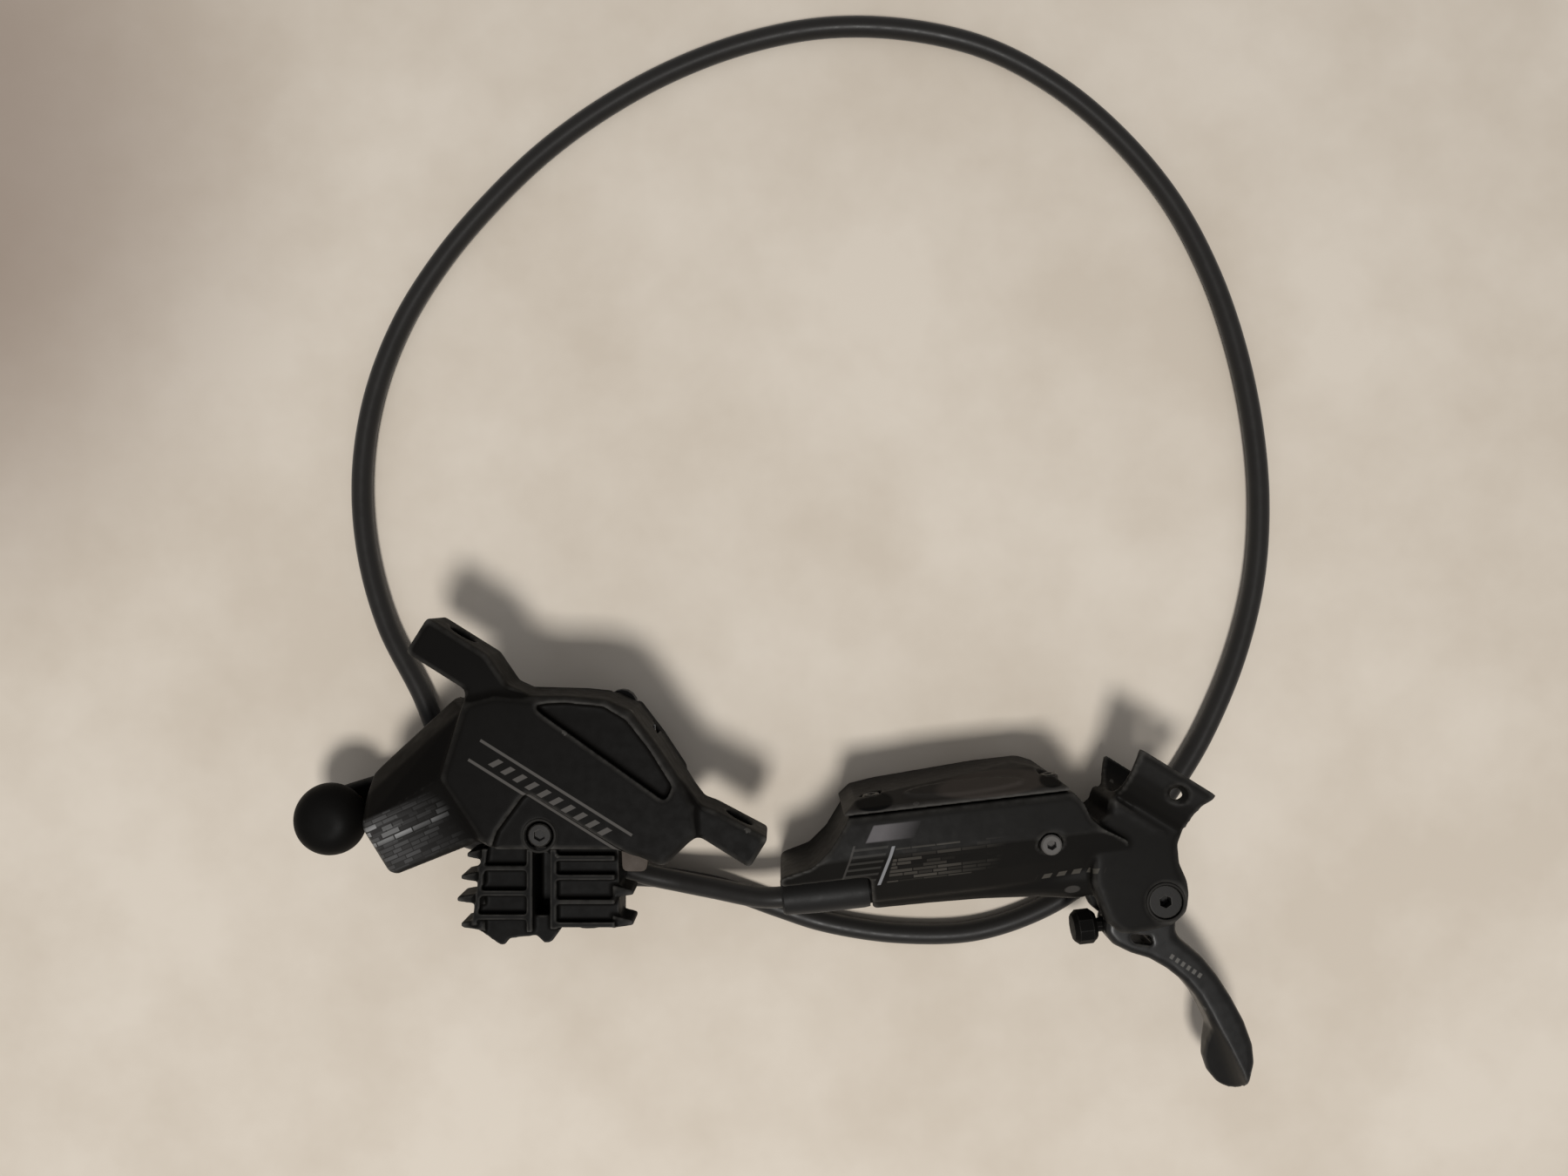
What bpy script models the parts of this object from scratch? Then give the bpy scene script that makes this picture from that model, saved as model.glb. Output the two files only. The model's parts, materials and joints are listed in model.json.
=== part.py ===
# Hydraulic disc brake for a bicycle: lever, hose and four piston caliper, lying on a table.
# The origin is the foot of the caliper's left lower piston boss, +Z is up from the table.
import math

import bmesh
import bpy
from mathutils import Matrix, Vector

for old in list(bpy.data.objects):
    bpy.data.objects.remove(old, do_unlink=True)

mm = 0.001

# Clearance between pieces that touch or slide, all sizes in millimetres.
fit = 0.3
# Half of the gap between the two caliper halves.
split = 0.15

# Caliper, measured away from the rotor's middle plane.
rotor_gap = 3.4
lining_thickness = 2.5
plate_thickness = 1.8
piston_radius = 7.0
piston_length = 8.0
piston_spacing = 20.3
bore_floor = 3.5
boss_wall = 3.0
slab_thickness = 4.5
seal_width = 1.8
seal_depth = 1.3
pad_left = 8.3
pad_back = 9.0
pad_front = 9.0
pin_radius = 1.8
pin_at = (5.4, -12.2)
ear_hole = 3.3
ear_reach = 37.1
ear_height = 14.0
body_bolt_radius = 2.0
bolt_head_radius = 3.6
bolt_head_height = 3.5
body_bolts_at = ((-5.0, 14.4), (20.0, 14.0))
crossover_at = (8.0, 14.6)
crossover_radius = 1.0
crossover_ring = 2.3
crossover_cord = 0.6

# Hose and its fittings.
hose_diameter = 5.0
fitting_wall = 0.9
banjo_at = (-46.0, -11.5)
banjo_turn = -8.0
banjo_thickness = 5.0
banjo_radius = 6.0
banjo_bolt_radius = 3.0
banjo_head_radius = 7.8
banjo_head_height = 6.0
washer_thickness = 0.8
lug_thickness = 6.0
ferrule_length = 6.5

# Lever, in its own frame: the pivot is the origin and the bore runs along X.
lever_at = (145.7, -29.3)
lever_turn = 6.6
bore_side = 8.3
bore_height = 15.5
bore_radius = 4.5
bore_start = -9.5
bore_length = 34.5
stroke_room = 9.0
cup_width = 2.0
cup_depth = 1.3
block_top = 30.0
block_back = 27.9
cavity_wall = 3.0
cover_bulge = 5.2
bar_radius = 11.1
clamp_wall = 2.0
clamp_width = 20.1
clamp_height = 19.0
clamp_at = (4.5, 29.85)
clamp_turn = -38.3
pivot_radius = 2.7
bush_wall = 0.9
slot_below = 4.7
slot_above = 5.7
ear_wall = 4.2
blade_height = 9.4
knob_radius = 4.0
knob_length = 5.4
knob_at = (-16.9, -6.6)
nose_start = -66.0
nose_length = 20.8
port_depth = 12.0

# Heights that follow from the caliper's stack of pieces.
lining_in = rotor_gap / 2
lining_out = lining_in + lining_thickness
plate_in = lining_out + fit
plate_out = plate_in + plate_thickness
piston_in = plate_out + fit
wall_in = piston_in + 0.4
piston_out = piston_in + piston_length
bore_out = piston_out + 0.9
rotor_plane = bore_out + bore_floor
caliper_top = 2 * rotor_plane
slab_low = rotor_plane - wall_in - slab_thickness
piston_bore = piston_radius + fit
boss_radius = piston_bore + boss_wall
pad_right = piston_spacing + pad_left
slot_low = bore_height - slot_below
slot_high = bore_height + slot_above
hose_radius = hose_diameter / 2
hose_hole = hose_radius + fit

parts = bpy.data.collections.new("hydraulic_disc_brake")
cutters = bpy.data.collections.new("cutters")
bpy.context.scene.collection.children.link(parts)
bpy.context.scene.collection.children.link(cutters)
cutters.hide_render = True


def empty(name, place, turn):
    found = bpy.data.objects.new(name, None)
    parts.objects.link(found)
    found.location = Vector(place) * mm
    found.rotation_euler = (0, 0, math.radians(turn))
    return found


lever_frame = empty("lever_frame", (lever_at[0], lever_at[1], 0), lever_turn)
frame = {"now": None}


# Gives a bmesh in metres an object in the current frame, with its origin at the given point.
def placed(name, bm, origin=(0, 0, 0)):
    mesh = bpy.data.meshes.new(name)
    bmesh.ops.recalc_face_normals(bm, faces=bm.faces)
    bm.to_mesh(mesh)
    bm.free()
    mesh.transform(Matrix.Translation(-Vector(origin) * mm))
    found = bpy.data.objects.new(name, mesh)
    found.location = Vector(origin) * mm
    found.parent = frame["now"]
    parts.objects.link(found)
    return found


# Adds a rounded edge to a simple shape.
def softened(found, width, segments=2):
    if width > 0:
        bevel = found.modifiers.new("edge", "BEVEL")
        bevel.width = width * mm
        bevel.segments = segments
        bevel.limit_method = "ANGLE"
        bevel.angle_limit = math.radians(35)
    return found


def block(name, low, high, edge=0.0, origin=(0, 0, 0)):
    bm = bmesh.new()
    size = [(b - a) * mm for a, b in zip(low, high)]
    middle = [(a + b) / 2 * mm for a, b in zip(low, high)]
    place = Matrix.Translation(middle) @ Matrix.Diagonal((*size, 1))
    bmesh.ops.create_cube(bm, size=1, matrix=place)
    return softened(placed(name, bm, origin), edge, 1)


# A cylinder or cone from one point to another.
def rod(name, radius, start, end, sides=20, far=None, edge=0.0, origin=(0, 0, 0)):
    start = Vector(start) * mm
    end = Vector(end) * mm
    turn = Vector((0, 0, 1)).rotation_difference(end - start).to_matrix().to_4x4()
    place = Matrix.Translation((start + end) / 2) @ turn
    bm = bmesh.new()
    bmesh.ops.create_cone(
        bm, cap_ends=True, segments=sides, radius1=radius * mm,
        radius2=(radius if far is None else far) * mm,
        depth=(end - start).length, matrix=place,
    )
    return softened(placed(name, bm, origin), edge, 1)


# A turned shape: (radius, height) pairs run down its outer side, and back up a bore if it has one.
def turned(name, profile, place, axis=(0, 0, 1), sides=16, ring=False):
    bm = bmesh.new()
    corners = [bm.verts.new((r * mm, 0, h * mm)) for r, h in profile]
    for a, b in zip(corners, corners[1:]):
        bm.edges.new((a, b))
    if ring:
        bm.edges.new((corners[-1], corners[0]))
    mesh = bpy.data.meshes.new(name)
    bm.to_mesh(mesh)
    bm.free()
    found = bpy.data.objects.new(name, mesh)
    found.location = Vector(place) * mm
    found.rotation_euler = Vector((0, 0, 1)).rotation_difference(Vector(axis)).to_euler()
    found.parent = frame["now"]
    parts.objects.link(found)
    screw = found.modifiers.new("turn", "SCREW")
    screw.steps = sides
    screw.render_steps = sides
    screw.use_merge_vertices = True
    screw.merge_threshold = 0.000001
    screw.use_smooth_shade = False
    return found


# The current shape of an object, as a mesh of its own.
def realised(found):
    bpy.context.view_layer.update()
    graph = bpy.context.evaluated_depsgraph_get()
    return bpy.data.meshes.new_from_object(found.evaluated_get(graph))


# A flat outline made thick, standing on Z, or laid along X or Y where the outline is a side view.
def prism(name, outline, low, high, along="Z", edge=0.0, origin=(0, 0, 0), segments=2):
    curve = bpy.data.curves.new(name, "CURVE")
    curve.dimensions = "2D"
    curve.fill_mode = "BOTH"
    curve.extrude = (high - low) / 2 * mm
    spline = curve.splines.new("POLY")
    spline.points.add(len(outline) - 1)
    for point, (x, y) in zip(spline.points, outline):
        point.co = (x * mm, y * mm, 0, 1)
    spline.use_cyclic_u = True
    guide = bpy.data.objects.new(name + "_outline", curve)
    parts.objects.link(guide)
    mesh = realised(guide)
    bpy.data.objects.remove(guide, do_unlink=True)
    bm = bmesh.new()
    bm.from_mesh(mesh)
    bmesh.ops.remove_doubles(bm, verts=bm.verts, dist=0.000001)
    if edge > 0:
        bmesh.ops.dissolve_limit(bm, angle_limit=0.0005, verts=bm.verts, edges=bm.edges)
    lift = Matrix.Translation((0, 0, (low + high) / 2 * mm))
    turn = {
        "Z": Matrix.Identity(4),
        "X": Matrix(((0, 0, 1, 0), (1, 0, 0, 0), (0, 1, 0, 0), (0, 0, 0, 1))),
        "Y": Matrix(((1, 0, 0, 0), (0, 0, 1, 0), (0, 1, 0, 0), (0, 0, 0, 1))),
    }[along]
    bmesh.ops.transform(bm, matrix=turn @ lift, verts=bm.verts)
    return softened(placed(name, bm, origin), edge, segments)


# The smallest form with flat faces around a few corner points.
def hull(name, points, edge=0.0, origin=(0, 0, 0)):
    bm = bmesh.new()
    for point in points:
        bm.verts.new(Vector(point) * mm)
    made = bmesh.ops.convex_hull(bm, input=bm.verts)
    loose = [v for v in made["geom_interior"] if isinstance(v, bmesh.types.BMVert)]
    bmesh.ops.delete(bm, geom=loose, context="VERTS")
    bmesh.ops.dissolve_limit(bm, angle_limit=0.02, verts=bm.verts, edges=bm.edges)
    return softened(placed(name, bm, origin), edge, 1)


# An outline with its corners rounded to one radius, or less where a side is short.
def rounded(points, radius, steps=3):
    found = []
    count = len(points)
    for i in range(count):
        here = Vector(points[i])
        back = Vector(points[i - 1]) - here
        ahead = Vector(points[(i + 1) % count]) - here
        reach = min(back.length, ahead.length) * 0.45
        half = back.angle(ahead) / 2
        inset = min(radius / max(math.tan(half), 0.01), reach)
        if inset < 0.25:
            found.append(tuple(here))
            continue
        first = here + back.normalized() * inset
        last = here + ahead.normalized() * inset
        for k in range(steps + 1):
            t = k / steps
            found.append(tuple((1 - t) ** 2 * first + 2 * t * (1 - t) * here + t * t * last))
    return found


def helper(found):
    parts.objects.unlink(found)
    cutters.objects.link(found)
    found.hide_render = True
    found.display_type = "WIRE"
    return found


def boolean(found, other, operation):
    step = found.modifiers.new(other.name, "BOOLEAN")
    step.operation = operation
    step.solver = "EXACT"
    step.object = helper(other)
    return found


def cut(found, *others):
    for other in others:
        boolean(found, other, "DIFFERENCE")
    return found


def join(found, *others):
    for other in others:
        boolean(found, other, "UNION")
    return found


def keep(found, other):
    return boolean(found, other, "INTERSECT")


# Gives a node its colour, roughness and metallic value, and smooth shading up to sharp edges.
def looks(found, colour, roughness, metallic=0.0):
    material = bpy.data.materials.new(found.name)
    material.use_nodes = True
    shader = material.node_tree.nodes["Principled BSDF"]
    shader.inputs["Base Color"].default_value = (*colour, 1)
    shader.inputs["Roughness"].default_value = roughness
    shader.inputs["Metallic"].default_value = metallic
    found.data.materials.append(material)
    if found.type == "MESH":
        found.data.shade_smooth()
        found.data.set_sharp_from_angle(angle=math.radians(30))
    return found


black_paint = ((0.014, 0.014, 0.015), 0.42, 0.0)
dark_plastic = ((0.02, 0.02, 0.021), 0.55, 0.0)
rubber = ((0.012, 0.012, 0.012), 0.75, 0.0)
steel = ((0.42, 0.41, 0.4), 0.35, 1.0)
dark_steel = ((0.06, 0.06, 0.062), 0.4, 1.0)
brass_tan = ((0.42, 0.34, 0.25), 0.5, 0.3)
lining_grey = ((0.11, 0.09, 0.07), 0.9, 0.0)
aluminium = ((0.6, 0.6, 0.6), 0.35, 1.0)

pistons_at = ((0.0, 0.0), (piston_spacing, 0.0))


# Points on the ear line: first along it, then across it.
def ear_point(along, across):
    turn = math.radians(-32.1)
    return (
        15.6 + along * math.cos(turn) - across * math.sin(turn),
        7.15 + along * math.sin(turn) + across * math.cos(turn),
    )


# Upper half: a body with an arm, two ears, a pocket for the pads and two bores.
body_outline = [
    (-11, 17.5), (-4, 19.2), (2.1, 18.6), (11.7, 18.6), (20.1, 17.8), (25.6, 15.2),
    (30.9, 8.3), (37.1, -0.7), (40, -5.5), (40.5, -12), (38.2, -13.7), (32.7, -19),
    (27.5, -16.8), (22, -15.4), (-4, -15.4), (-7.5, -13.3), (-16.5, 0.2),
]
upper_low = rotor_plane + split
ear_low = caliper_top - 1.0 - ear_height
ear_high = caliper_top - 1.0
ear_middle = (ear_low + ear_high) / 2
outboard = prism("caliper_outboard", body_outline, upper_low, caliper_top, edge=1.4)
arm_low = upper_low + 1.0
arm = hull("arm", [
    (-16.5, 0.2, caliper_top - 1), (-7, -13.3, caliper_top - 1), (0, 0, caliper_top - 1),
    (-34.3, -10.6, caliper_top - 5), (-27.4, -21.9, caliper_top - 5),
    (-11, 16, caliper_top - 3), (-16, 10.5, caliper_top - 4), (-34.6, -4.6, caliper_top - 8.5),
    (-15.4, 17.7, caliper_top - 12), (-34.6, 0.3, caliper_top - 14), (-37.5, -12.6, caliper_top - 13),
    (-29.8, -22.7, caliper_top - 10),
    (-14.5, 16.7, arm_low), (-33, 0, arm_low), (-36, -12, arm_low), (-28.8, -21, arm_low),
    (-7, -12.8, arm_low), (0, 0, arm_low),
], edge=1.0)
ear_left = prism("ear_left", [
    ear_point(-ear_reach - 7.4, 5.8), ear_point(-29, 5.8), (-1.5, 21), (5, 18), (4, 8), (-12, 8),
    ear_point(-29, -3.4), ear_point(-ear_reach - 7.4, -3.4),
], ear_low, ear_high, edge=0.8)
ear_right = prism("ear_right", [
    (36.5, 0.5), (41, -5.4), (43.8, -6.4), ear_point(ear_reach + 7.4, 4.5),
    ear_point(ear_reach + 7.4, -3.4), ear_point(31.5, -3.4), (37, -13.4), (30, -8),
], ear_low, ear_high, edge=0.8)
join(outboard, arm, ear_left, ear_right)
for side in (-1, 1):
    ear_name = "ear_hole_left" if side < 0 else "ear_hole_right"
    cut(outboard, rod(
        ear_name, ear_hole, (*ear_point(side * ear_reach, -14), ear_middle),
        (*ear_point(side * ear_reach, 14), ear_middle), sides=16,
    ))
pocket_outline = [
    (-pad_left - 1.2, -45), (pad_right + 1.4, -45),
    (pad_right + 1.4, pad_back + 1.3), (-pad_left - 1.2, pad_back + 1.3),
]
cut(outboard, prism("upper_pocket", pocket_outline, rotor_plane - 5, rotor_plane + wall_in))
for k, (x, y) in enumerate(pistons_at):
    cut(outboard, rod(f"upper_bore_{k}", piston_bore, (x, y, rotor_plane), (x, y, rotor_plane + bore_out)))
    groove = rotor_plane + wall_in + 2.0
    cut(outboard, rod(
        f"upper_groove_{k}", piston_bore + seal_depth, (x, y, groove),
        (x, y, groove + seal_width + 2 * fit),
    ))
# A shallow field inside the arch, and a lower step around the pad pin.
arch_field = rounded([
    (3.4, 16.6), (11, 17.0), (19.6, 16.2), (24.6, 13.2), (29.6, 6.8), (34.6, -1.2), (33.2, -4.6),
], 1.2)
cut(outboard, prism("arch_field", arch_field, caliper_top - 2.4, caliper_top + 5))
pin_step = rounded([(2.8, -2.4), (27.5, -17.5), (24, -24), (-8, -24), (-3.5, -11)], 1.5)
cut(outboard, prism("pin_step", pin_step, caliper_top - 1.9, caliper_top + 5))
pin_hole = pin_radius + fit
head_radius = pin_radius + 0.8
head_seat = caliper_top - 4.2
cut(
    outboard,
    rod("upper_pin_hole", pin_hole, (*pin_at, rotor_plane), (*pin_at, caliper_top + 2), sides=16),
    rod("pin_seat", head_radius + 0.5, (*pin_at, head_seat), (*pin_at, caliper_top + 2), sides=16),
)
bolt_hole = body_bolt_radius + fit
bolt_end = rotor_plane + 13.0
for k, (x, y) in enumerate(body_bolts_at):
    cut(outboard, rod(f"upper_bolt_{k}", bolt_hole, (x, y, rotor_plane - 1), (x, y, bolt_end + 1), sides=16))
ring_seat = crossover_ring + crossover_cord + fit
ring_depth = crossover_cord + fit - split
cut(
    outboard,
    rod("upper_port", crossover_radius, (*crossover_at, rotor_plane),
        (*crossover_at, rotor_plane + 8), sides=12),
    rod("upper_ring_seat", ring_seat, (*crossover_at, rotor_plane - 1),
        (*crossover_at, upper_low + ring_depth), sides=18),
)
looks(outboard, *black_paint)

# Lower half: a slab with two piston bosses that it stands on, and a lug for the hose fitting.
lower_high = rotor_plane - split
lower_outline = [
    (-12, 16.5), (-4, 18.2), (11.7, 17.8), (19.6, 17), (24.8, 14.4), (30, 7.6), (35.5, -0.7),
    (36, -8), (32.5, -12.5), (12, -13), (10.5, -15.8), (0.5, -15.8), (-1, -13), (-8, -11.5), (-13, -2),
]
inboard = prism("caliper_inboard", lower_outline, slab_low, lower_high, edge=1.0)
for k, (x, y) in enumerate(pistons_at):
    join(inboard, rod(f"boss_{k}", boss_radius, (x, y, 0), (x, y, slab_low + 2), edge=1.0))
lug_low = 6.0
lug_high = lug_low + lug_thickness
lug = hull("hose_lug", [
    (banjo_at[0] + banjo_radius * math.cos(a), banjo_at[1] + banjo_radius * math.sin(a), z)
    for a in [math.radians(d) for d in range(75, 290, 24)] for z in (lug_low, lug_high)
] + [
    (x, y, z) for x, y in ((-30, -9.8), (-8, -7.5), (-8, 4), (-16, 4)) for z in (lug_low, lug_high)
], edge=0.6)
join(inboard, lug)
bleed_at = (-13.0, 8.0, slab_low + 4.0)
join(inboard, rod("bleed_boss", 4.2, (-8, 8, bleed_at[2]), (-16, 8, bleed_at[2]), edge=0.5))
cut(inboard, prism("lower_pocket", pocket_outline, rotor_plane - wall_in, rotor_plane + 5))
for k, (x, y) in enumerate(pistons_at):
    cut(inboard, rod(f"lower_bore_{k}", piston_bore, (x, y, rotor_plane - bore_out), (x, y, rotor_plane)))
    groove = rotor_plane - wall_in - 2.0
    cut(inboard, rod(
        f"lower_groove_{k}", piston_bore + seal_depth, (x, y, groove - seal_width - 2 * fit), (x, y, groove),
    ))
cut(inboard, rod("lower_pin_hole", pin_hole, (*pin_at, slab_low - 2), (*pin_at, rotor_plane), sides=16))
for k, (x, y) in enumerate(body_bolts_at):
    cut(
        inboard,
        rod(f"lower_bolt_{k}", bolt_hole, (x, y, slab_low - 1), (x, y, rotor_plane + 1), sides=16),
        rod(f"bolt_seat_{k}", bolt_head_radius + fit, (x, y, slab_low - 3),
            (x, y, slab_low + bolt_head_height), sides=18),
    )
banjo_shank_low = lug_low + 0.8
cut(
    inboard,
    rod("lower_port", crossover_radius, (*crossover_at, rotor_plane - 8),
        (*crossover_at, rotor_plane), sides=12),
    rod("lower_ring_seat", ring_seat, (*crossover_at, lower_high - ring_depth),
        (*crossover_at, rotor_plane + 1), sides=18),
    rod("banjo_hole", banjo_bolt_radius + fit, (*banjo_at, lug_low - 1), (*banjo_at, lug_high + 1), sides=16),
    rod("bleed_hole", 2.2 + fit, (-20, 8, bleed_at[2]), (-11.5, 8, bleed_at[2]), sides=16),
)
looks(inboard, *black_paint)

for k, (x, y) in enumerate(body_bolts_at):
    bolt = turned(f"body_bolt_{k + 1}", [
        (0, bolt_end), (body_bolt_radius - 0.4, bolt_end), (body_bolt_radius, bolt_end - 0.4),
        (body_bolt_radius, slab_low + bolt_head_height - fit),
        (bolt_head_radius, slab_low + bolt_head_height - fit),
        (bolt_head_radius, slab_low + 0.5), (bolt_head_radius - 0.4, slab_low + 0.1), (0, slab_low + 0.1),
    ], (x, y, 0), sides=16)
    cut(bolt, rod(f"bolt_socket_{k}", 1.7, (x, y, slab_low - 1), (x, y, slab_low + 2), sides=6))
    looks(bolt, *dark_steel)

crossover = turned("crossover_seal", [
    (crossover_ring + crossover_cord * math.cos(a), crossover_cord * math.sin(a))
    for a in [math.radians(90 - 60 * k) for k in range(6)]
], (*crossover_at, rotor_plane), sides=16, ring=True)
looks(crossover, *rubber)

# Four hollow pistons, each with a square seal in its bore.
for side, half in ((1, "outboard"), (-1, "inboard")):
    for k, (x, y) in enumerate(pistons_at):
        place = (x, y, rotor_plane)
        cup = 2.2
        piston = turned(f"piston_{half}_{k + 1}", [
            (0, piston_out), (piston_radius - 0.6, piston_out), (piston_radius, piston_out - 0.6),
            (piston_radius, piston_in + 0.3), (piston_radius - 0.3, piston_in),
            (piston_radius - cup, piston_in), (piston_radius - cup, piston_in + 5), (0, piston_in + 5),
        ], place, axis=(0, 0, side))
        looks(piston, (0.1, 0.1, 0.1), 0.4, 0.3)
        low = wall_in + 2.0 + fit
        seal = turned(f"piston_seal_{half}_{k + 1}", [
            (piston_bore + seal_depth - 0.15, low + seal_width), (piston_bore + seal_depth - 0.15, low),
            (piston_radius + 0.15, low), (piston_radius + 0.15, low + seal_width),
        ], place, axis=(0, 0, side), ring=True)
        looks(seal, *rubber)

# Two pads: a plate with a pin tab and a corner tab, and its friction lining.
plate_outline = [
    (-pad_left, pad_back), (-pad_left, -pad_front), (0.6, -pad_front + 0.5), (1.4, -15.2), (9.4, -15.2),
    (10.2, -pad_front + 0.6), (20.3, -pad_front + 0.2), (21.9, -16), (22.2, -22.6), (27.6, -22.6),
    (pad_right, -15), (pad_right, pad_back),
]
lining_outline = [
    (-pad_left + 1.2, pad_back - 1.2), (-pad_left + 1.2, -pad_front + 1.2),
    (pad_right - 1.2, -pad_front + 1.2), (pad_right - 1.2, pad_back - 1.2),
]
for side, half in ((1, "outboard"), (-1, "inboard")):
    low, high = sorted((rotor_plane + side * plate_in, rotor_plane + side * plate_out))
    plate = prism(f"backing_plate_{half}", rounded(plate_outline, 1.4), low, high, origin=(0, 0, rotor_plane))
    cut(plate, rod(f"plate_hole_{half}", pin_hole, (*pin_at, low - 1), (*pin_at, high + 1), sides=16))
    looks(plate, *brass_tan)
    low, high = sorted((rotor_plane + side * lining_in, rotor_plane + side * lining_out))
    lining_plan = rounded(lining_outline, 2.5)
    lining = prism(f"friction_pad_{half}", lining_plan, low, high, origin=(0, 0, rotor_plane))
    looks(lining, *lining_grey)

# The leaf spring between the plates: two legs beside each lining, joined by a web at the back.
leaf = 0.5
leg_out = plate_in - 0.8
web_y = pad_back + 0.2
spring = block(
    "pad_spring", (-2, web_y, rotor_plane - leg_out), (pad_right - 6, web_y + leaf, rotor_plane + leg_out),
)
for side in (-1, 1):
    low, high = sorted((rotor_plane + side * leg_out, rotor_plane + side * (leg_out - leaf)))
    leg_outline = [
        (-pad_left, web_y + leaf), (-pad_left, -pad_front + 2), (-pad_left + 0.8, -pad_front + 2),
        (-pad_left + 0.8, web_y - 1.0), (pad_right - 0.8, web_y - 1.0), (pad_right - 0.8, -pad_front + 2),
        (pad_right, -pad_front + 2), (pad_right, web_y + leaf),
    ]
    join(spring, prism(f"spring_leg_{side}", leg_outline, low, high))
looks(spring, *steel)

# The pin that holds the pads, with a socket in its head and a clip at its end.
pin_end = slab_low - 2.0
pin = turned("pad_pin", [
    (0, caliper_top - 2.2), (head_radius - 0.3, caliper_top - 2.2), (head_radius, caliper_top - 2.5),
    (head_radius, head_seat + fit), (pin_radius, head_seat + fit), (pin_radius, slab_low - 0.4),
    (pin_radius - 0.6, slab_low - 0.4), (pin_radius - 0.6, slab_low - 1.4),
    (pin_radius, slab_low - 1.4), (pin_radius, pin_end), (0, pin_end),
], (*pin_at, 0), sides=16)
cut(pin, rod("pin_socket", 1.35, (*pin_at, head_seat + 1.0), (*pin_at, caliper_top), sides=6))
looks(pin, *dark_steel)
clip = turned("pin_clip", [
    (pin_radius + 0.8, slab_low - 0.6), (pin_radius + 0.8, slab_low - 1.2),
    (pin_radius - 0.35, slab_low - 1.2), (pin_radius - 0.35, slab_low - 0.6),
], (*pin_at, 0), sides=16, ring=True)
cut(clip, block(
    "clip_gap", (pin_at[0] - 1.0, pin_at[1], slab_low - 3), (pin_at[0] + 1.0, pin_at[1] + 9, slab_low),
))
looks(clip, *steel)

# The caliper's bleed screw with its rubber cap, under the arm.
bleed = turned("caliper_bleed_screw", [
    (0, 16.0), (1.1, 16.0), (1.7, 15.0), (1.1, 13.6), (1.1, 12.4), (3.1, 12.4), (3.1, 8.8),
    (2.2, 8.8), (2.2, 4.6), (1.4, 4.0), (0, 4.0),
], (-8, 8, bleed_at[2]), axis=(-1, 0, 0), sides=16)
looks(bleed, *steel)
bleed_cap = turned("caliper_bleed_cap", [
    (0, 17.2), (2.4, 17.2), (2.8, 16.6), (2.8, 12.7), (2.0, 12.7), (2.0, 16.3), (0, 16.3),
], (-8, 8, bleed_at[2]), axis=(-1, 0, 0), sides=16)
looks(bleed_cap, *rubber)

# The transport block: a ribbed plastic body with a tongue that goes between the pads.
spacer_high = rotor_plane + 8.0
core_low = rotor_plane - 6.0
core_high = spacer_high - 1.8
fin_low = rotor_plane - 1.5
fin_high = spacer_high - 0.8
spacer = prism("pad_spacer", rounded([
    (-9.4, -16.0), (-11.9, -33.6), (-11.4, -35.5), (-5.1, -39.9), (-3.6, -38), (2.6, -37.3),
    (4.3, -38.9), (5.9, -38.9), (8.7, -35), (14, -35.8), (21.4, -35.2), (21.4, -24.8), (21.2, -16.0),
], 0.6, steps=1), core_low, core_high)
for k, y in enumerate((-21.5, -27.2, -32.6)):
    join(spacer, block(f"rib_left_{k}", (-10.6, y - 0.6, core_high - 2), (1.2, y + 0.6, spacer_high)))
for k, y in enumerate((-19.2, -23.6, -29.2, -34.4)):
    join(spacer, block(f"rib_right_{k}", (6.5, y - 0.6, core_high - 2), (20.6, y + 0.6, spacer_high)))
join(
    spacer,
    block("ridge_left", (0.6, -36.0, core_high - 2), (2.0, -17.2, spacer_high)),
    block("ridge_right", (5.9, -35.4, core_high - 2), (7.5, -17.2, spacer_high)),
    hull("skirt_left", [
        (x, y, z) for x, y in ((-9.4, -17), (-11.9, -34.5), (-10.6, -34.5), (-8.2, -17))
        for z in (core_low + 0.5, spacer_high)
    ]),
)
for k, (x, y) in enumerate(((-13.1, -18.8), (-14.4, -23.9), (-15.4, -28.9), (-14.4, -34.8))):
    join(spacer, hull(f"fin_left_{k}", [
        (a, b, z) for a, b in ((x, y + 0.6), (x, y - 0.4), (-9, y + 1.6), (-9, y - 1.2))
        for z in (fin_low, fin_high)
    ]))
for k, y in enumerate((-27.3, -34.2)):
    join(spacer, hull(f"fin_right_{k}", [
        (a, b, z) for a, b in ((24.8, y + 0.5), (24.8, y - 0.5), (20, y + 1.7), (20, y - 1.2))
        for z in (fin_low, fin_high)
    ]))
cut(spacer, block("spacer_recess", (2.2, -32.6, rotor_plane - 1.5), (5.7, -18.4, spacer_high + 3), edge=0.4))
tongue = rotor_gap / 2 - 0.7
tongue_outline = rounded([
    (-5, -18), (-5, -3.5), (-3, -1.8), (14, -1.8), (16, -3.5), (16, -18),
    (pin_at[0] + 2.6, -18), (pin_at[0] + 2.6, -9), (pin_at[0] - 2.6, -9), (pin_at[0] - 2.6, -18),
], 0.8, steps=2)
join(spacer, prism("tongue", tongue_outline, rotor_plane - tongue, rotor_plane + tongue))
looks(spacer, *dark_plastic)

eye_low = lug_high + fit + washer_thickness + fit
eye_high = eye_low + banjo_thickness
eye_middle = (eye_low + eye_high) / 2
barb = (math.cos(math.radians(banjo_turn)), math.sin(math.radians(banjo_turn)))


# A point a given way along the fitting's neck.
def along_barb(reach):
    return (banjo_at[0] + barb[0] * reach, banjo_at[1] + barb[1] * reach, eye_middle)


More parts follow.
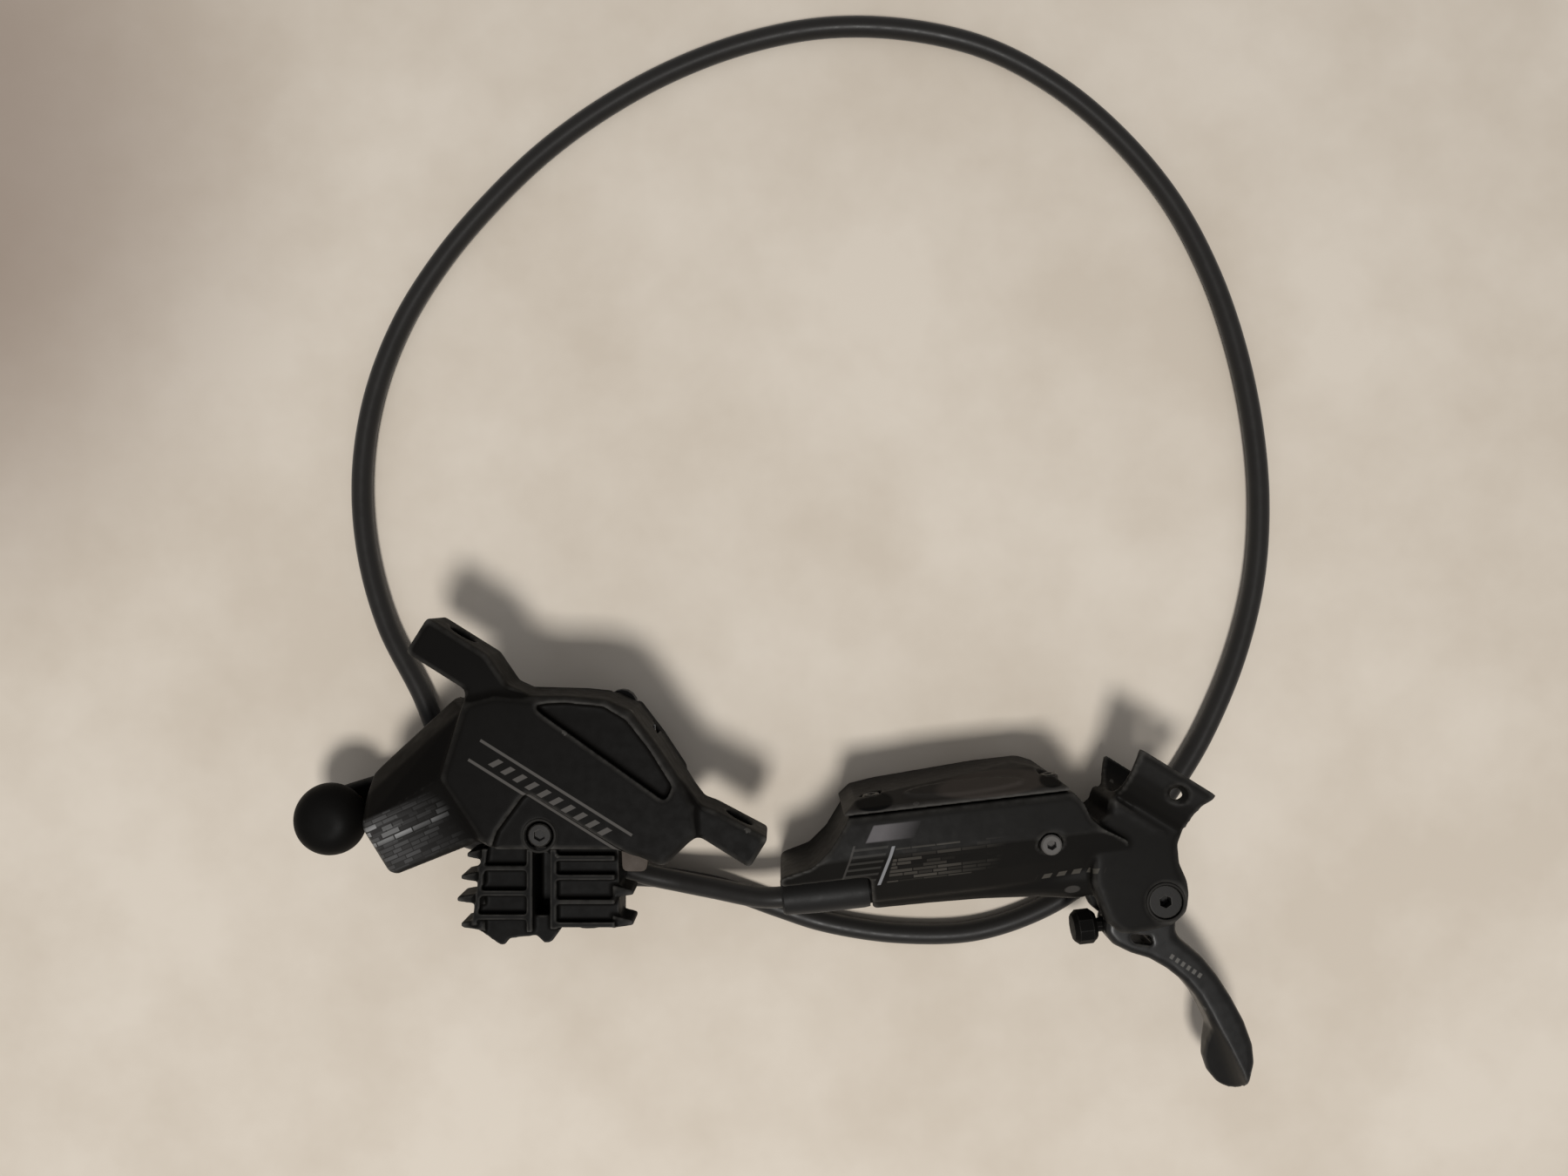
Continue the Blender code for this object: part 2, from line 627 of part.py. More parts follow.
eye_bore = banjo_bolt_radius + fit
banjo = turned("banjo", [
    (banjo_radius - 0.5, eye_high), (banjo_radius, eye_high - 0.5), (banjo_radius, eye_low + 0.5),
    (banjo_radius - 0.5, eye_low), (eye_bore, eye_low), (eye_bore, eye_high),
], (*banjo_at, 0), ring=True)
neck_end = banjo_radius + 4.5
join(banjo, rod(
    "banjo_neck", hose_radius - 0.3, along_barb(banjo_radius - 1.2), along_barb(neck_end), sides=16,
))
looks(banjo, *black_paint)
washer_hole = banjo_bolt_radius + fit
for k, low in enumerate((lug_high + fit, eye_high + fit)):
    washer = turned(f"banjo_washer_{k + 1}", [
        (banjo_radius - 0.6, low + washer_thickness), (banjo_radius - 0.6, low),
        (washer_hole, low), (washer_hole, low + washer_thickness),
    ], (*banjo_at, 0), ring=True)
    looks(washer, (0.5, 0.3, 0.18), 0.4, 1.0)
bolt_seat = eye_high + 2 * fit + washer_thickness
banjo_bolt = turned("banjo_bolt", [
    (0, bolt_seat + banjo_head_height), (banjo_head_radius - 2.4, bolt_seat + banjo_head_height),
    (banjo_head_radius - 0.7, bolt_seat + banjo_head_height - 0.9),
    (banjo_head_radius, bolt_seat + banjo_head_height - 2.4), (banjo_head_radius, bolt_seat + 0.6),
    (banjo_head_radius - 0.6, bolt_seat), (banjo_bolt_radius, bolt_seat),
    (banjo_bolt_radius, banjo_shank_low), (0, banjo_shank_low),
], (*banjo_at, 0), sides=24)
looks(banjo_bolt, *dark_plastic)
hose_end = neck_end + fit + 0.2
ferrule = turned("hose_ferrule", [
    (hose_hole + fitting_wall - 0.3, ferrule_length), (hose_hole + fitting_wall, ferrule_length - 0.4),
    (hose_hole + fitting_wall, 0.4), (hose_hole + fitting_wall - 0.3, 0),
    (hose_hole, 0), (hose_hole, ferrule_length),
], along_barb(neck_end - 3.0), axis=(barb[0], barb[1], 0), sides=18, ring=True)
looks(ferrule, *dark_steel)

frame["now"] = lever_frame
bore = (bore_side, bore_height)
bore_end = bore_start - bore_length
nose_end = nose_start - nose_length

housing = turned("lever_housing", [
    (0, -7.0), (8.7, -7.0), (8.5, -15), (6.6, -27), (5.6, -40), (5.2, -52),
    (5.0, nose_start + 0.8), (4.4, nose_start), (0, nose_start),
], (0, bore_side, bore_height), axis=(1, 0, 0), sides=24)

# The reservoir block: a side profile run along the bore, then trimmed to its plan.
profile_outline = [
    (6, 7.5), (6, 21.5), (12, 26), (18.5, block_top), (block_back, block_top),
    (block_back, 0), (15.5, 0), (9, 6.5),
]
reservoir = prism("reservoir_block", profile_outline, -88, -6, along="X", edge=1.2)
plan = rounded([
    (-86.6, 13.4), (-86.4, 15.6), (-79, 17.4), (-74.5, 20.9), (-70.2, 26.4), (-69, 29),
    (-19.5, 29), (-16.4, 24.8), (-15.3, 21.5), (-13, 19), (-7, 15), (-7, 5),
    (nose_start, 5), (nose_start, 13.4),
], 1.5)
keep(reservoir, prism("reservoir_plan", plan, -3, 40))
join(housing, reservoir)

# The clevis and neck between the bore and the handlebar clamp.
ear_top = slot_high + ear_wall + 1.2
ear_bottom = slot_low - ear_wall
clevis = prism("clevis", [
    (-16, 6), (-13.6, -3.4), (-10.5, -6.6), (-4, -6.4), (1.2, -5.7), (4.8, -3.2), (5.8, 1),
    (5.7, 4), (4.4, 8.2), (4.5, 12.5), (7.5, 18.5), (2, 24), (-10, 22), (-13, 19.8), (-15, 14),
], ear_bottom, ear_top, edge=1.3)
join(housing, clevis)

clamp_outer = bar_radius + fit + clamp_wall
clamp_turn_rad = math.radians(clamp_turn)
bar_way = (math.cos(clamp_turn_rad), math.sin(clamp_turn_rad))
away = (bar_way[1], -bar_way[0])


# A point by the clamp: along the bar, away from it toward the lever, and up.
def by_clamp(along, out, height):
    return (
        clamp_at[0] + bar_way[0] * along + away[0] * out,
        clamp_at[1] + bar_way[1] * along + away[1] * out,
        clamp_height + height,
    )


half_width = clamp_width / 2
saddle = rod(
    "clamp_saddle", clamp_outer, by_clamp(-half_width, 0, 0), by_clamp(half_width, 0, 0), sides=30, edge=0.8,
)
cut(saddle, hull("clamp_open_side", [
    by_clamp(a, o, h) for a in (-30, 30) for o in (-30, -0.2) for h in (-30, 30)
]), hull("clamp_lower_lip", [
    by_clamp(a, o, h) for a in (-30, 30) for o, h in ((-30, -3), (3, -3), (8.5, -30), (-30, -30))
]))
keep(saddle, prism("clamp_plan", [
    by_clamp(a, o, 0)[:2] for a, o in (
        (-half_width - 1, -1), (half_width + 1, -1), (half_width + 0.2, 0.4), (half_width - 1.4, 3.2),
        (half_width - 1.6, 6.4), (half_width - 0.6, 10), (half_width - 0.6, 20),
        (-half_width + 3.2, 20), (-half_width + 2.6, 10), (-half_width + 0.2, 0.4),
    )
], -5, 45))
neck = hull("neck", [by_clamp(a, 12.0, h) for a in (-8.5, 7.5) for h in (-9, 8)] + [
    (x, y, z) for x, y in ((-12, 17), (4.5, 13), (-10.5, 22)) for z in (ear_bottom + 1.5, ear_top - 1)
], edge=1.0)
join(housing, saddle, neck)
cut(housing, rod("bar", bar_radius + fit, by_clamp(-40, 0, 0), by_clamp(40, 0, 0), sides=30))
clamp_top = clamp_height + clamp_outer
cut(
    housing,
    rod("clamp_screw_hole", 1.3, (3.8, 24.8, clamp_height + 6), (3.8, 24.8, 40), sides=14),
    rod("clamp_screw_seat", 2.3, (3.8, 24.8, clamp_top - 1.7), (3.8, 24.8, 40), sides=18),
)

# The slot that the blade turns in, opened toward the blade and its cam.
slot = prism("blade_slot", rounded([
    (-9.2, 13.2), (-9.2, 3.0), (-16, 1.5), (-26, -1.5), (-26, -16), (14, -16), (14, 6), (7.2, 13.2),
], 0.8), slot_low, slot_high)
cut(housing, slot)
cut(
    housing,
    rod("bore", bore_radius, (bore_end, *bore), (bore_start + 3, *bore), sides=24),
    rod("circlip_groove", bore_radius + 0.6, (bore_start - 2.2, *bore), (bore_start - 0.8, *bore), sides=24),
    rod("hose_port", hose_hole + fitting_wall + fit, (nose_start - 3, *bore),
        (nose_start + port_depth, *bore), sides=18),
    rod("port_link", 0.9, (nose_start + port_depth - 1, *bore), (bore_end + 1, *bore), sides=12),
)

# The fluid reservoir, open at the back under the cover, with its port into the bore.
cavity_left = -59.0
cavity_right = -26.0
cavity_front = bore_side + bore_radius + 2.2
cavity_low = cavity_wall
cavity_high = block_top - cavity_wall - 1.5
cut(
    housing,
    block("cavity", (cavity_left, cavity_front, cavity_low),
          (cavity_right, block_back + 3, cavity_high), edge=0.6),
    rod("fluid_port", 0.8, (bore_end + 4, bore_side + 2, bore_height),
        (bore_end + 4, cavity_front + 1, bore_height), sides=12),
)
bleed_plan = (-24.9, 16.6)
cut(
    housing,
    rod("bleed_seat", 2.75, (*bleed_plan, block_top - 2.6), (*bleed_plan, block_top + 3), sides=18),
    rod("bleed_bore", 1.5 + fit, (*bleed_plan, cavity_high - 1), (*bleed_plan, block_top), sides=16),
    rod("pivot_hole", pivot_radius + fit, (0, 0, ear_bottom - 2), (0, 0, ear_top + 2), sides=18),
    rod("pivot_seat", pivot_radius + 1.2 + fit, (0, 0, ear_top - 1.6), (0, 0, ear_top + 3), sides=18),
)
cover_screws_at = ((-63.4, 22.0), (-22.4, 22.0))
for k, (x, z) in enumerate(cover_screws_at):
    cut(housing, rod(
        f"cover_screw_hole_{k}", 1.2 + fit, (x, block_back - 5, z), (x, block_back + 2, z), sides=16,
    ))
looks(housing, *black_paint)

# The cover bulges away from the housing and slopes to its upper edge, with a raised oval on the slope.
cover_low = block_back + fit
cover_high = block_top - 0.4
cover = prism("reservoir_cover", [
    (-71.0, cover_low), (-67.5, cover_low + 2.6), (-61, cover_low + 3.5), (-48.7, cover_low + 4.4),
    (-29.5, cover_low + cover_bulge + 0.6), (-25.4, cover_low + 4.9), (-22, cover_low + 3.2),
    (-19.4, cover_low + 0.6), (-19.2, cover_low),
], 0.8, cover_high)
keep(cover, prism("cover_slope", [
    (cover_low - 2, 0), (cover_low - 2, 40), (cover_low + 0.3, cover_high),
    (cover_low + 1.2, cover_high - 0.5), (cover_low + 4.9, cover_high - 9),
    (cover_low + 6.5, cover_high - 15.5), (cover_low + 5.2, 4), (cover_low + 2.5, 0),
], -90, 0, along="X"))
for k, (x, z) in enumerate(cover_screws_at):
    cut(
        cover,
        rod(f"cover_hole_{k}", 1.2 + fit, (x, cover_low - 1, z), (x, cover_low + 9, z), sides=16),
        rod(f"cover_seat_{k}", 2.2 + fit, (x, cover_low + 1.2, z), (x, cover_low + 9, z), sides=16),
    )
slope = Vector((0, cover_high - 0.5 - (cover_high - 9), 4.9 - 1.2)).normalized()
down = Vector((0, slope.z, -slope.y))
oval_middle = Vector((-42.5, cover_low + 2.4, cover_high - 4.2))
join(cover, hull("cover_oval", [
    oval_middle + Vector((14.0 * math.cos(a), 0, 0)) + down * 2.9 * math.sin(a) + slope * lift
    for a in [2 * math.pi * k / 20 for k in range(20)] for lift in (-1.2, 0.95)
], edge=0.4))
looks(cover, *dark_plastic)
for k, (x, z) in enumerate(cover_screws_at):
    screw = turned(f"cover_screw_{k + 1}", [
        (0, 3.1), (1.8, 3.1), (2.2, 2.6), (2.2, 1.2 + fit), (1.2, 1.2 + fit), (1.2, -4.4), (0, -4.4),
    ], (x, cover_low, z), axis=(0, 1, 0), sides=16)
    cut(screw, rod(f"cover_screw_socket_{k}", 1.0, (x, cover_low + 1.8, z), (x, cover_low + 5, z), sides=6))
    looks(screw, *dark_steel)

# The rubber bladder under the cover: a rim with a bag that reaches into the fluid.
gap = fit + 0.3
bladder = block(
    "reservoir_bladder", (cavity_left + gap, block_back - 2.0, cavity_low + gap),
    (cavity_right - gap, block_back - 0.2, cavity_high - gap),
)
join(bladder, block(
    "bladder_bag", (cavity_left + 6, cavity_front + 3.5, cavity_low + 4),
    (cavity_right - 6, block_back - 1, cavity_high - 4), edge=1.5,
))
cut(bladder, block(
    "bladder_inside", (cavity_left + 7.2, cavity_front + 4.7, cavity_low + 5.2),
    (cavity_right - 7.2, block_back + 2, cavity_high - 5.2), edge=0.8,
))
looks(bladder, *rubber)

lever_bleed = turned("lever_bleed_screw", [
    (0, block_top - 0.2), (2.0, block_top - 0.2), (2.35, block_top - 0.5), (2.35, block_top - 2.6 + fit),
    (1.5, block_top - 2.6 + fit), (1.5, cavity_high + 0.3), (0, cavity_high + 0.3),
], (*bleed_plan, 0), sides=18)
cut(lever_bleed, rod(
    "bleed_socket", 1.15, (*bleed_plan, block_top - 1.8), (*bleed_plan, block_top + 1), sides=6,
))
looks(lever_bleed, *steel)

# The master piston with two cups, its pushrod, return spring and circlip.
piston_rear = bore_start - 3.0
piston_front = bore_end + stroke_room + 1.2
master_radius = bore_radius - fit
groove_floor = master_radius - cup_depth
cups_at = (piston_front + 2.4, piston_rear - 3.2 - cup_width - 2 * fit)
master_profile = [(0, piston_rear), (master_radius, piston_rear)]
for low in sorted(cups_at, reverse=True):
    master_profile += [
        (master_radius, low + cup_width + 2 * fit), (groove_floor, low + cup_width + 2 * fit),
        (groove_floor, low), (master_radius, low),
    ]
master_profile += [
    (master_radius, piston_front + 0.5), (master_radius - 0.5, piston_front), (0, piston_front),
]
master = turned("master_piston", master_profile, (0, *bore), axis=(1, 0, 0))
cut(master, rod("pushrod_socket", 2.6, (piston_rear - 3, *bore), (piston_rear + 1, *bore), sides=16))
looks(master, *aluminium)
for name, low in zip(("primary_cup", "secondary_cup"), cups_at):
    cup_ring = turned(name, [
        (master_radius + 0.12, low + fit + cup_width), (master_radius + 0.12, low + fit),
        (groove_floor + 0.2, low + fit), (groove_floor + 0.2, low + fit + cup_width),
    ], (0, *bore), axis=(1, 0, 0), ring=True)
    looks(cup_ring, *rubber)
tip = -3.4
pushrod = turned("pushrod", [
    (0, tip), (1.1, tip), (1.5, tip - 0.5), (1.5, piston_rear - 1), (2.2, piston_rear - 1.6),
    (2.2, piston_rear - 2.3), (1.6, piston_rear - 2.7), (0, piston_rear - 2.7),
], (0, *bore), axis=(1, 0, 0), sides=16)
looks(pushrod, *steel)
circlip = turned("circlip", [
    (bore_radius + 0.3, bore_start - 1.1), (bore_radius + 0.3, bore_start - 1.9),
    (bore_radius - 1.4, bore_start - 1.9), (bore_radius - 1.4, bore_start - 1.1),
], (0, *bore), axis=(1, 0, 0), sides=18, ring=True)
cut(circlip, block(
    "circlip_gap", (bore_start - 5, bore_side - 1.5, bore_height),
    (bore_start + 2, bore_side + 1.5, bore_height + 9),
))
looks(circlip, *steel)

wire = 0.35
coil_radius = bore_radius - 1.2
coil_start = bore_end + fit + wire
coil_end = piston_front - fit - wire
turns = 5.5
coil = bpy.data.curves.new("return_spring", "CURVE")
coil.dimensions = "3D"
coil.bevel_depth = wire * mm
coil.bevel_resolution = 0
coil.use_fill_caps = True
spline = coil.splines.new("POLY")
count = int(turns * 10)
spline.points.add(count)
for k, point in enumerate(spline.points):
    turn = 2 * math.pi * turns * k / count
    reach = coil_start + (coil_end - coil_start) * k / count
    point.co = (
        reach * mm, (bore_side + coil_radius * math.cos(turn)) * mm,
        (bore_height + coil_radius * math.sin(turn)) * mm, 1,
    )
return_spring = bpy.data.objects.new("return_spring", coil)
return_spring.parent = lever_frame
parts.objects.link(return_spring)
looks(return_spring, *steel)

# The blade: a hub with a cam on one side and a curved finger lever on the other.
blade_middle = (slot_low + slot_high) / 2
hub_low = slot_low + fit
hub_high = slot_high - fit
hub_radius = pivot_radius + bush_wall + 2 * fit + 1.5
blade_low = blade_middle - blade_height / 2
blade_high = blade_middle + blade_height / 2
blade = prism("lever_blade", [
    (-4.6, -3), (-12.4, -3.6), (-13.2, -7.6), (-11.2, -10.6), (-7.4, -13.0), (-3.2, -14.8), (0.6, -17.6),
    (3.9, -20.9), (6.5, -24.8), (8.3, -29.0), (9.6, -33.2), (8.6, -37.0), (8.0, -40.8), (8.8, -44.6),
    (10.8, -47.6), (13.2, -49.3), (15.0, -48.5), (16.8, -45.6), (18.2, -41.6), (18.3, -37.4),
    (17.0, -31.8), (14.7, -26.0), (12.1, -20.6), (9.2, -16.0), (6.0, -12.5), (3.4, -9.8), (4.6, -3),
], blade_low, blade_high, edge=1.5)
hub = rod("blade_hub", hub_radius, (0, 0, hub_low), (0, 0, hub_high))
cam = hull("blade_cam", [
    (-0.5 + 2.6 * math.cos(a), bore_side + 2.6 * math.sin(a), z)
    for a in [2 * math.pi * k / 14 for k in range(14)] for z in (bore_height - 3, bore_height + 3)
] + [(x, -1, z) for x in (-4.2, 4.2) for z in (bore_height - 3, bore_height + 3)])
join(blade, hub, cam)
bush_low = hub_low + 3.0
bush_high = hub_high - 3.0
cut(
    blade,
    rod("blade_hole", pivot_radius + bush_wall + 2 * fit, (0, 0, 0), (0, 0, 40), sides=18),
    # A hollow down the finger face and a see-through slot near the pivot.
    rod("finger_hollow", 8.8, (-2.5, -12.6, blade_high + 9.4), (8.8, -53.3, blade_high + 0.5), sides=32),
    prism("blade_window", rounded([(-7.6, -8.2), (-6.6, -10.4), (-2.2, -11.6), (-2.6, -9.2)], 0.8), 0, 40),
    rod("knob_hole", 1.6 + fit, (-18, knob_at[1], blade_middle), (-7.6, knob_at[1], blade_middle), sides=16),
)
looks(blade, *black_paint)

for name, low, high, flange in (
    ("pivot_bush_lower", hub_low, bush_low, 0), ("pivot_bush_upper", bush_high, hub_high, 1),
):
    bush = turned(name, [
        (pivot_radius + fit + bush_wall, high), (pivot_radius + fit + bush_wall, low),
        (pivot_radius + fit, low), (pivot_radius + fit, high),
    ], (0, 0, 0), sides=18, ring=True)
    looks(bush, *aluminium)

pin_top = ear_top - 0.3
pivot_pin = turned("pivot_pin", [
    (0, pin_top), (pivot_radius + 0.9, pin_top), (pivot_radius + 1.2, pin_top - 0.3),
    (pivot_radius + 1.2, ear_top - 1.6 + fit), (pivot_radius, ear_top - 1.6 + fit),
    (pivot_radius, ear_bottom + 0.4), (pivot_radius - 0.4, ear_bottom), (0, ear_bottom),
], (0, 0, 0), sides=18)
cut(pivot_pin, rod("pivot_socket", 1.5, (0, 0, pin_top - 3), (0, 0, pin_top + 1), sides=6))
looks(pivot_pin, *dark_steel)

knob_front = knob_at[0] - knob_length / 2
knob_back = knob_at[0] + knob_length / 2
knob = turned("reach_knob", [
    (0, -7.9), (1.6, -7.9), (1.6, knob_back), (knob_radius - 0.9, knob_back), (knob_radius, knob_back - 1.1),
    (knob_radius, knob_front + 1.1), (knob_radius - 0.9, knob_front), (0, knob_front),
], (0, knob_at[1], blade_middle), axis=(1, 0, 0), sides=10)
looks(knob, *dark_plastic)

# The hose end at the lever: a nut with its olive in the port, and a rubber boot.
nut_head = 3.4
nut = turned("hose_nut", [
    (hose_hole + fitting_wall, nose_start + port_depth - 4), (hose_hole + fitting_wall, nose_start - fit),
    (hose_hole + 0.9, nose_start - fit), (hose_hole + 0.9, nose_start - fit - nut_head),
    (hose_hole, nose_start - fit - nut_head), (hose_hole, nose_start + port_depth - 4),
], (0, *bore), axis=(1, 0, 0), sides=18, ring=True)
looks(nut, *dark_steel)
olive_low = nose_start + port_depth - 4 + fit
olive = turned("hose_olive", [
    (hose_hole + 0.2, olive_low + 2.4), (hose_hole + fitting_wall, olive_low + 1.2),
    (hose_hole + 0.2, olive_low),
    (hose_hole, olive_low), (hose_hole, olive_low + 2.4),
], (0, *bore), axis=(1, 0, 0), sides=16, ring=True)
looks(olive, (0.6, 0.45, 0.2), 0.35, 1.0)
boot_inner = nose_start - 2 * fit - nut_head
boot = turned("hose_boot", [
    (hose_hole + 1.6, nose_start - fit), (hose_hole + 1.75, nose_start - 1.6),
    (hose_hole + 1.75, nose_end + 8),
    (hose_hole + 1.4, nose_end + 0.5), (hose_hole + 1.0, nose_end), (hose_hole, nose_end),
    (hose_hole, boot_inner), (hose_hole + 0.9 + fit, boot_inner), (hose_hole + 0.9 + fit, nose_start - fit),
], (0, *bore), axis=(1, 0, 0), sides=18, ring=True)
looks(boot, *rubber)
frame["now"] = None

# Lever points in the table's frame.
def from_lever(x, y, z):
    turn = math.radians(lever_turn)
    return (
        lever_at[0] + x * math.cos(turn) - y * math.sin(turn),
        lever_at[1] + x * math.sin(turn) + y * math.cos(turn), z,
    )


# The loop of hose that lies on the table, between the rise to the lever and the rise to the fitting.
table_route = [
    (0, -19.6), (-9, -16.0), (-18, -9.5), (-24.5, 1), (-30.5, 15.7), (-39.1, 32.7), (-44.2, 51.5),
    (-45.3, 70.7), (-42.3, 89.6), (-35.4, 107.5), (-25.3, 123.5), (-13.2, 137.7), (0.2, 150.4),
    (15.2, 161.2), (31.8, 170.2), (49.9, 176.9), (69.3, 180.6), (89.6, 180.1), (109.4, 175.4),
    (127.3, 165.7), (142.6, 152.6), (155.3, 137.0), (164.6, 119.4), (170.9, 101.1), (174.9, 82.1),
    (176.5, 62.9), (175.2, 43.5), (170.4, 24.3), (162.7, 6.0), (156.0, -5.4), (147.4, -17.3),
    (136.6, -28.0), (123.7, -36.7), (106.4, -42.7), (87.0, -43.3), (68.9, -40.5), (57.7, -36.9),
    (46, -32.8), (34, -30.2), (24.5, -29.3), (17, -29.3), (9, -28.8),
]
route = [
    from_lever(nose_start + port_depth - 1, *bore),
    from_lever(nose_start, *bore),
    from_lever(nose_end, *bore),
    from_lever(nose_end - 5, bore_side + 0.3, bore_height - 0.9),
    (42, -30.0, 11.2), (33.5, -28.9, 9.0), (24.5, -27.2, 8.1), (17, -25.0, 6.9), (9, -22.6, 4.2),
] + [(x, y, hose_radius) for x, y in table_route] + [
    (1, -26.3, 3.8), (-7, -22.6, 7.8), (-14.5, -18.2, 12.6),
    along_barb(neck_end + 13), along_barb(neck_end + 7), along_barb(hose_end),
]


# A smooth curve through the route, read at even steps.
def smooth(points, spacing):
    points = [Vector(p) for p in points]
    fine = []
    for k in range(len(points) - 1):
        a, b = points[k], points[k + 1]
        before = points[k - 1] if k else a * 2 - b
        after = points[k + 2] if k + 2 < len(points) else b * 2 - a
        t1 = max((a - before).length ** 0.5, 0.001)
        t2 = max((b - a).length ** 0.5, 0.001)
        t3 = max((after - b).length ** 0.5, 0.001)
        out_of_a = (a - before) / t1 - (b - before) / (t1 + t2) + (b - a) / t2
        into_b = (b - a) / t2 - (after - a) / (t2 + t3) + (after - b) / t3
        for step in range(16):
            t = step / 16
            fine.append(
                a * (2 * t**3 - 3 * t**2 + 1) + b * (3 * t**2 - 2 * t**3)
                + (out_of_a * (t**3 - 2 * t**2 + t) + into_b * (t**3 - t**2)) * t2
            )
    fine.append(points[-1])
    lengths = [0.0]
    for a, b in zip(fine, fine[1:]):
        lengths.append(lengths[-1] + (b - a).length)
    count = round(lengths[-1] / spacing)
    found = []
    k = 0
    for n in range(count + 1):
        want = lengths[-1] * n / count
        while k < len(fine) - 2 and lengths[k + 1] < want:
            k += 1
        t = (want - lengths[k]) / max(lengths[k + 1] - lengths[k], 1e-9)
        found.append(fine[k].lerp(fine[k + 1], t))
    return found


hose_points = smooth(route, 11.8)
curve = bpy.data.curves.new("brake_hose", "CURVE")
curve.dimensions = "3D"
curve.bevel_depth = hose_radius * mm
curve.bevel_resolution = 2
curve.use_fill_caps = True
spline = curve.splines.new("POLY")
spline.points.add(len(hose_points) - 1)
for point, place in zip(spline.points, hose_points):
    point.co = (*(place * mm), 1)
hose = bpy.data.objects.new("brake_hose", curve)
parts.objects.link(hose)
looks(hose, *rubber)
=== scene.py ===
import json
import math
import bpy
import numpy as np
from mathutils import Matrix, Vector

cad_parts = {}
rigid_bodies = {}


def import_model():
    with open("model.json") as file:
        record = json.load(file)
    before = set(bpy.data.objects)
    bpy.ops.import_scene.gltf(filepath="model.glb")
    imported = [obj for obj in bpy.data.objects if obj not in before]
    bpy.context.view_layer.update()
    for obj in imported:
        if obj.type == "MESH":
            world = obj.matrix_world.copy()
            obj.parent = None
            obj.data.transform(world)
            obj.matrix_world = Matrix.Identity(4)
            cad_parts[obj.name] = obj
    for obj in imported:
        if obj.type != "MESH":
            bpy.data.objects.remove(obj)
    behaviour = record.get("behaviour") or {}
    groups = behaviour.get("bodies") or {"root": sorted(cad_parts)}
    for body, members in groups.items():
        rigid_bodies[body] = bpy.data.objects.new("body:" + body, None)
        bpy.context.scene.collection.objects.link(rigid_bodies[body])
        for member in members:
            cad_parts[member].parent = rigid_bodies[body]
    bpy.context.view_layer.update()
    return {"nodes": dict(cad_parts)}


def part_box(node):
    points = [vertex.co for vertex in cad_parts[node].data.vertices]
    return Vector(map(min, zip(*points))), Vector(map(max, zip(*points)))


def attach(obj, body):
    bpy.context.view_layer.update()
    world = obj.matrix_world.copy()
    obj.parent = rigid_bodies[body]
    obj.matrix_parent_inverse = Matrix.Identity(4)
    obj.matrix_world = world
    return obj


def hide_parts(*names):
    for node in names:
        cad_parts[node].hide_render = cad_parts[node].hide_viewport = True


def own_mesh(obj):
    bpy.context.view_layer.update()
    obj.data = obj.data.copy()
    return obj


for left in list(bpy.data.objects):   # the cube, lamp and camera of Blender's start file
    bpy.data.objects.remove(left, do_unlink=True)

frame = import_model()
nodes = frame["nodes"]
print("frame loaded:", len(nodes), "nodes")

# The workshop table, the lamp, the room and the camera.
tableTop = dict(size=5.0, height=-0.00006, colour=(0.625, 0.56, 0.478), shade=(0.55, 0.482, 0.4), clouds=14.0,
                blotches=(0.38, 0.62), rough=0.75, specular=0.25, paintedShadow=(0.24, 0.18, 0.145),
                paintedShadowAt=(-0.19, 0.15, 0.0), paintedShadowFull=0.05, paintedShadowGone=0.15, paintedShadowShare=0.75)
lampBig = dict(place=(0.05, -0.40, 1.18), aim=(0.06, 0.05, 0.0), size=0.24, power=12.3, colour=(1.0, 0.985, 0.96))
roomLight = dict(colour=(0.96, 0.97, 1.0), strength=0.35, beyond=(0.60, 0.55, 0.49))
cameraStand = dict(place=(0.059, 0.042, 0.293), lens=26.956, sensor=36.0, nearest=0.01)
millimetre = 0.001


# A shader node of that kind, with its named settings or inputs filled in.
def wired(tree, kind, **values):
    node = tree.nodes.new(kind)
    for key, value in values.items():
        if hasattr(node, key):
            setattr(node, key, value)
        else:
            node.inputs[key.replace("_", " ")].default_value = value
    return node


# One sum of sockets and numbers, such as calc(tree, "MULTIPLY", socket, 2.0).
def calc(tree, operation, *terms, clamp=False):
    node = wired(tree, "ShaderNodeMath", operation=operation, use_clamp=clamp)
    for socket, term in zip(node.inputs, terms):
        if isinstance(term, (int, float)):
            socket.default_value = term
        else:
            tree.links.new(term, socket)
    return node.outputs[0]


# The second colour over the first by that share, where each of the three is a socket or a plain colour.
def mixed(tree, share, first, second):
    node = wired(tree, "ShaderNodeMix", data_type="RGBA")
    for key, value in (("Factor", share), ("A", first), ("B", second)):
        if isinstance(value, tuple):
            node.inputs[key].default_value = (*value, 1)
        else:
            tree.links.new(value, node.inputs[key])
    return node.outputs["Result"]


# Motifs are prints and patches of painted light. What a motif has unless it says otherwise. It shows only on faces
# that look up by more than face, and above a height.
plainMotif = dict(lean=0.0, edge=0.1, face=0.3, above=0.0, strength=1.0, oval=False, lines=None, bars=None,
                  dashes=None, fade=None)
motifSlopes = dict(facing=6.0, height=4000.0)
dashWall = dict(offset=0.41, offset_frequency=2, squash=0.6, squash_frequency=3, Color1=(0, 0, 0, 1),
                Color2=(1, 1, 1, 1), Mortar=(0, 0, 0, 1), Scale=1.0, Mortar_Smooth=0.4, Bias=0.0)
dashContrast = 1.7


# How far a coordinate lies inside plus and minus half, over the edge's softness.
def insideShare(tree, along, half, edge):
    return calc(tree, "DIVIDE", calc(tree, "SUBTRACT", half, calc(tree, "ABSOLUTE", along)), edge, clamp=True)


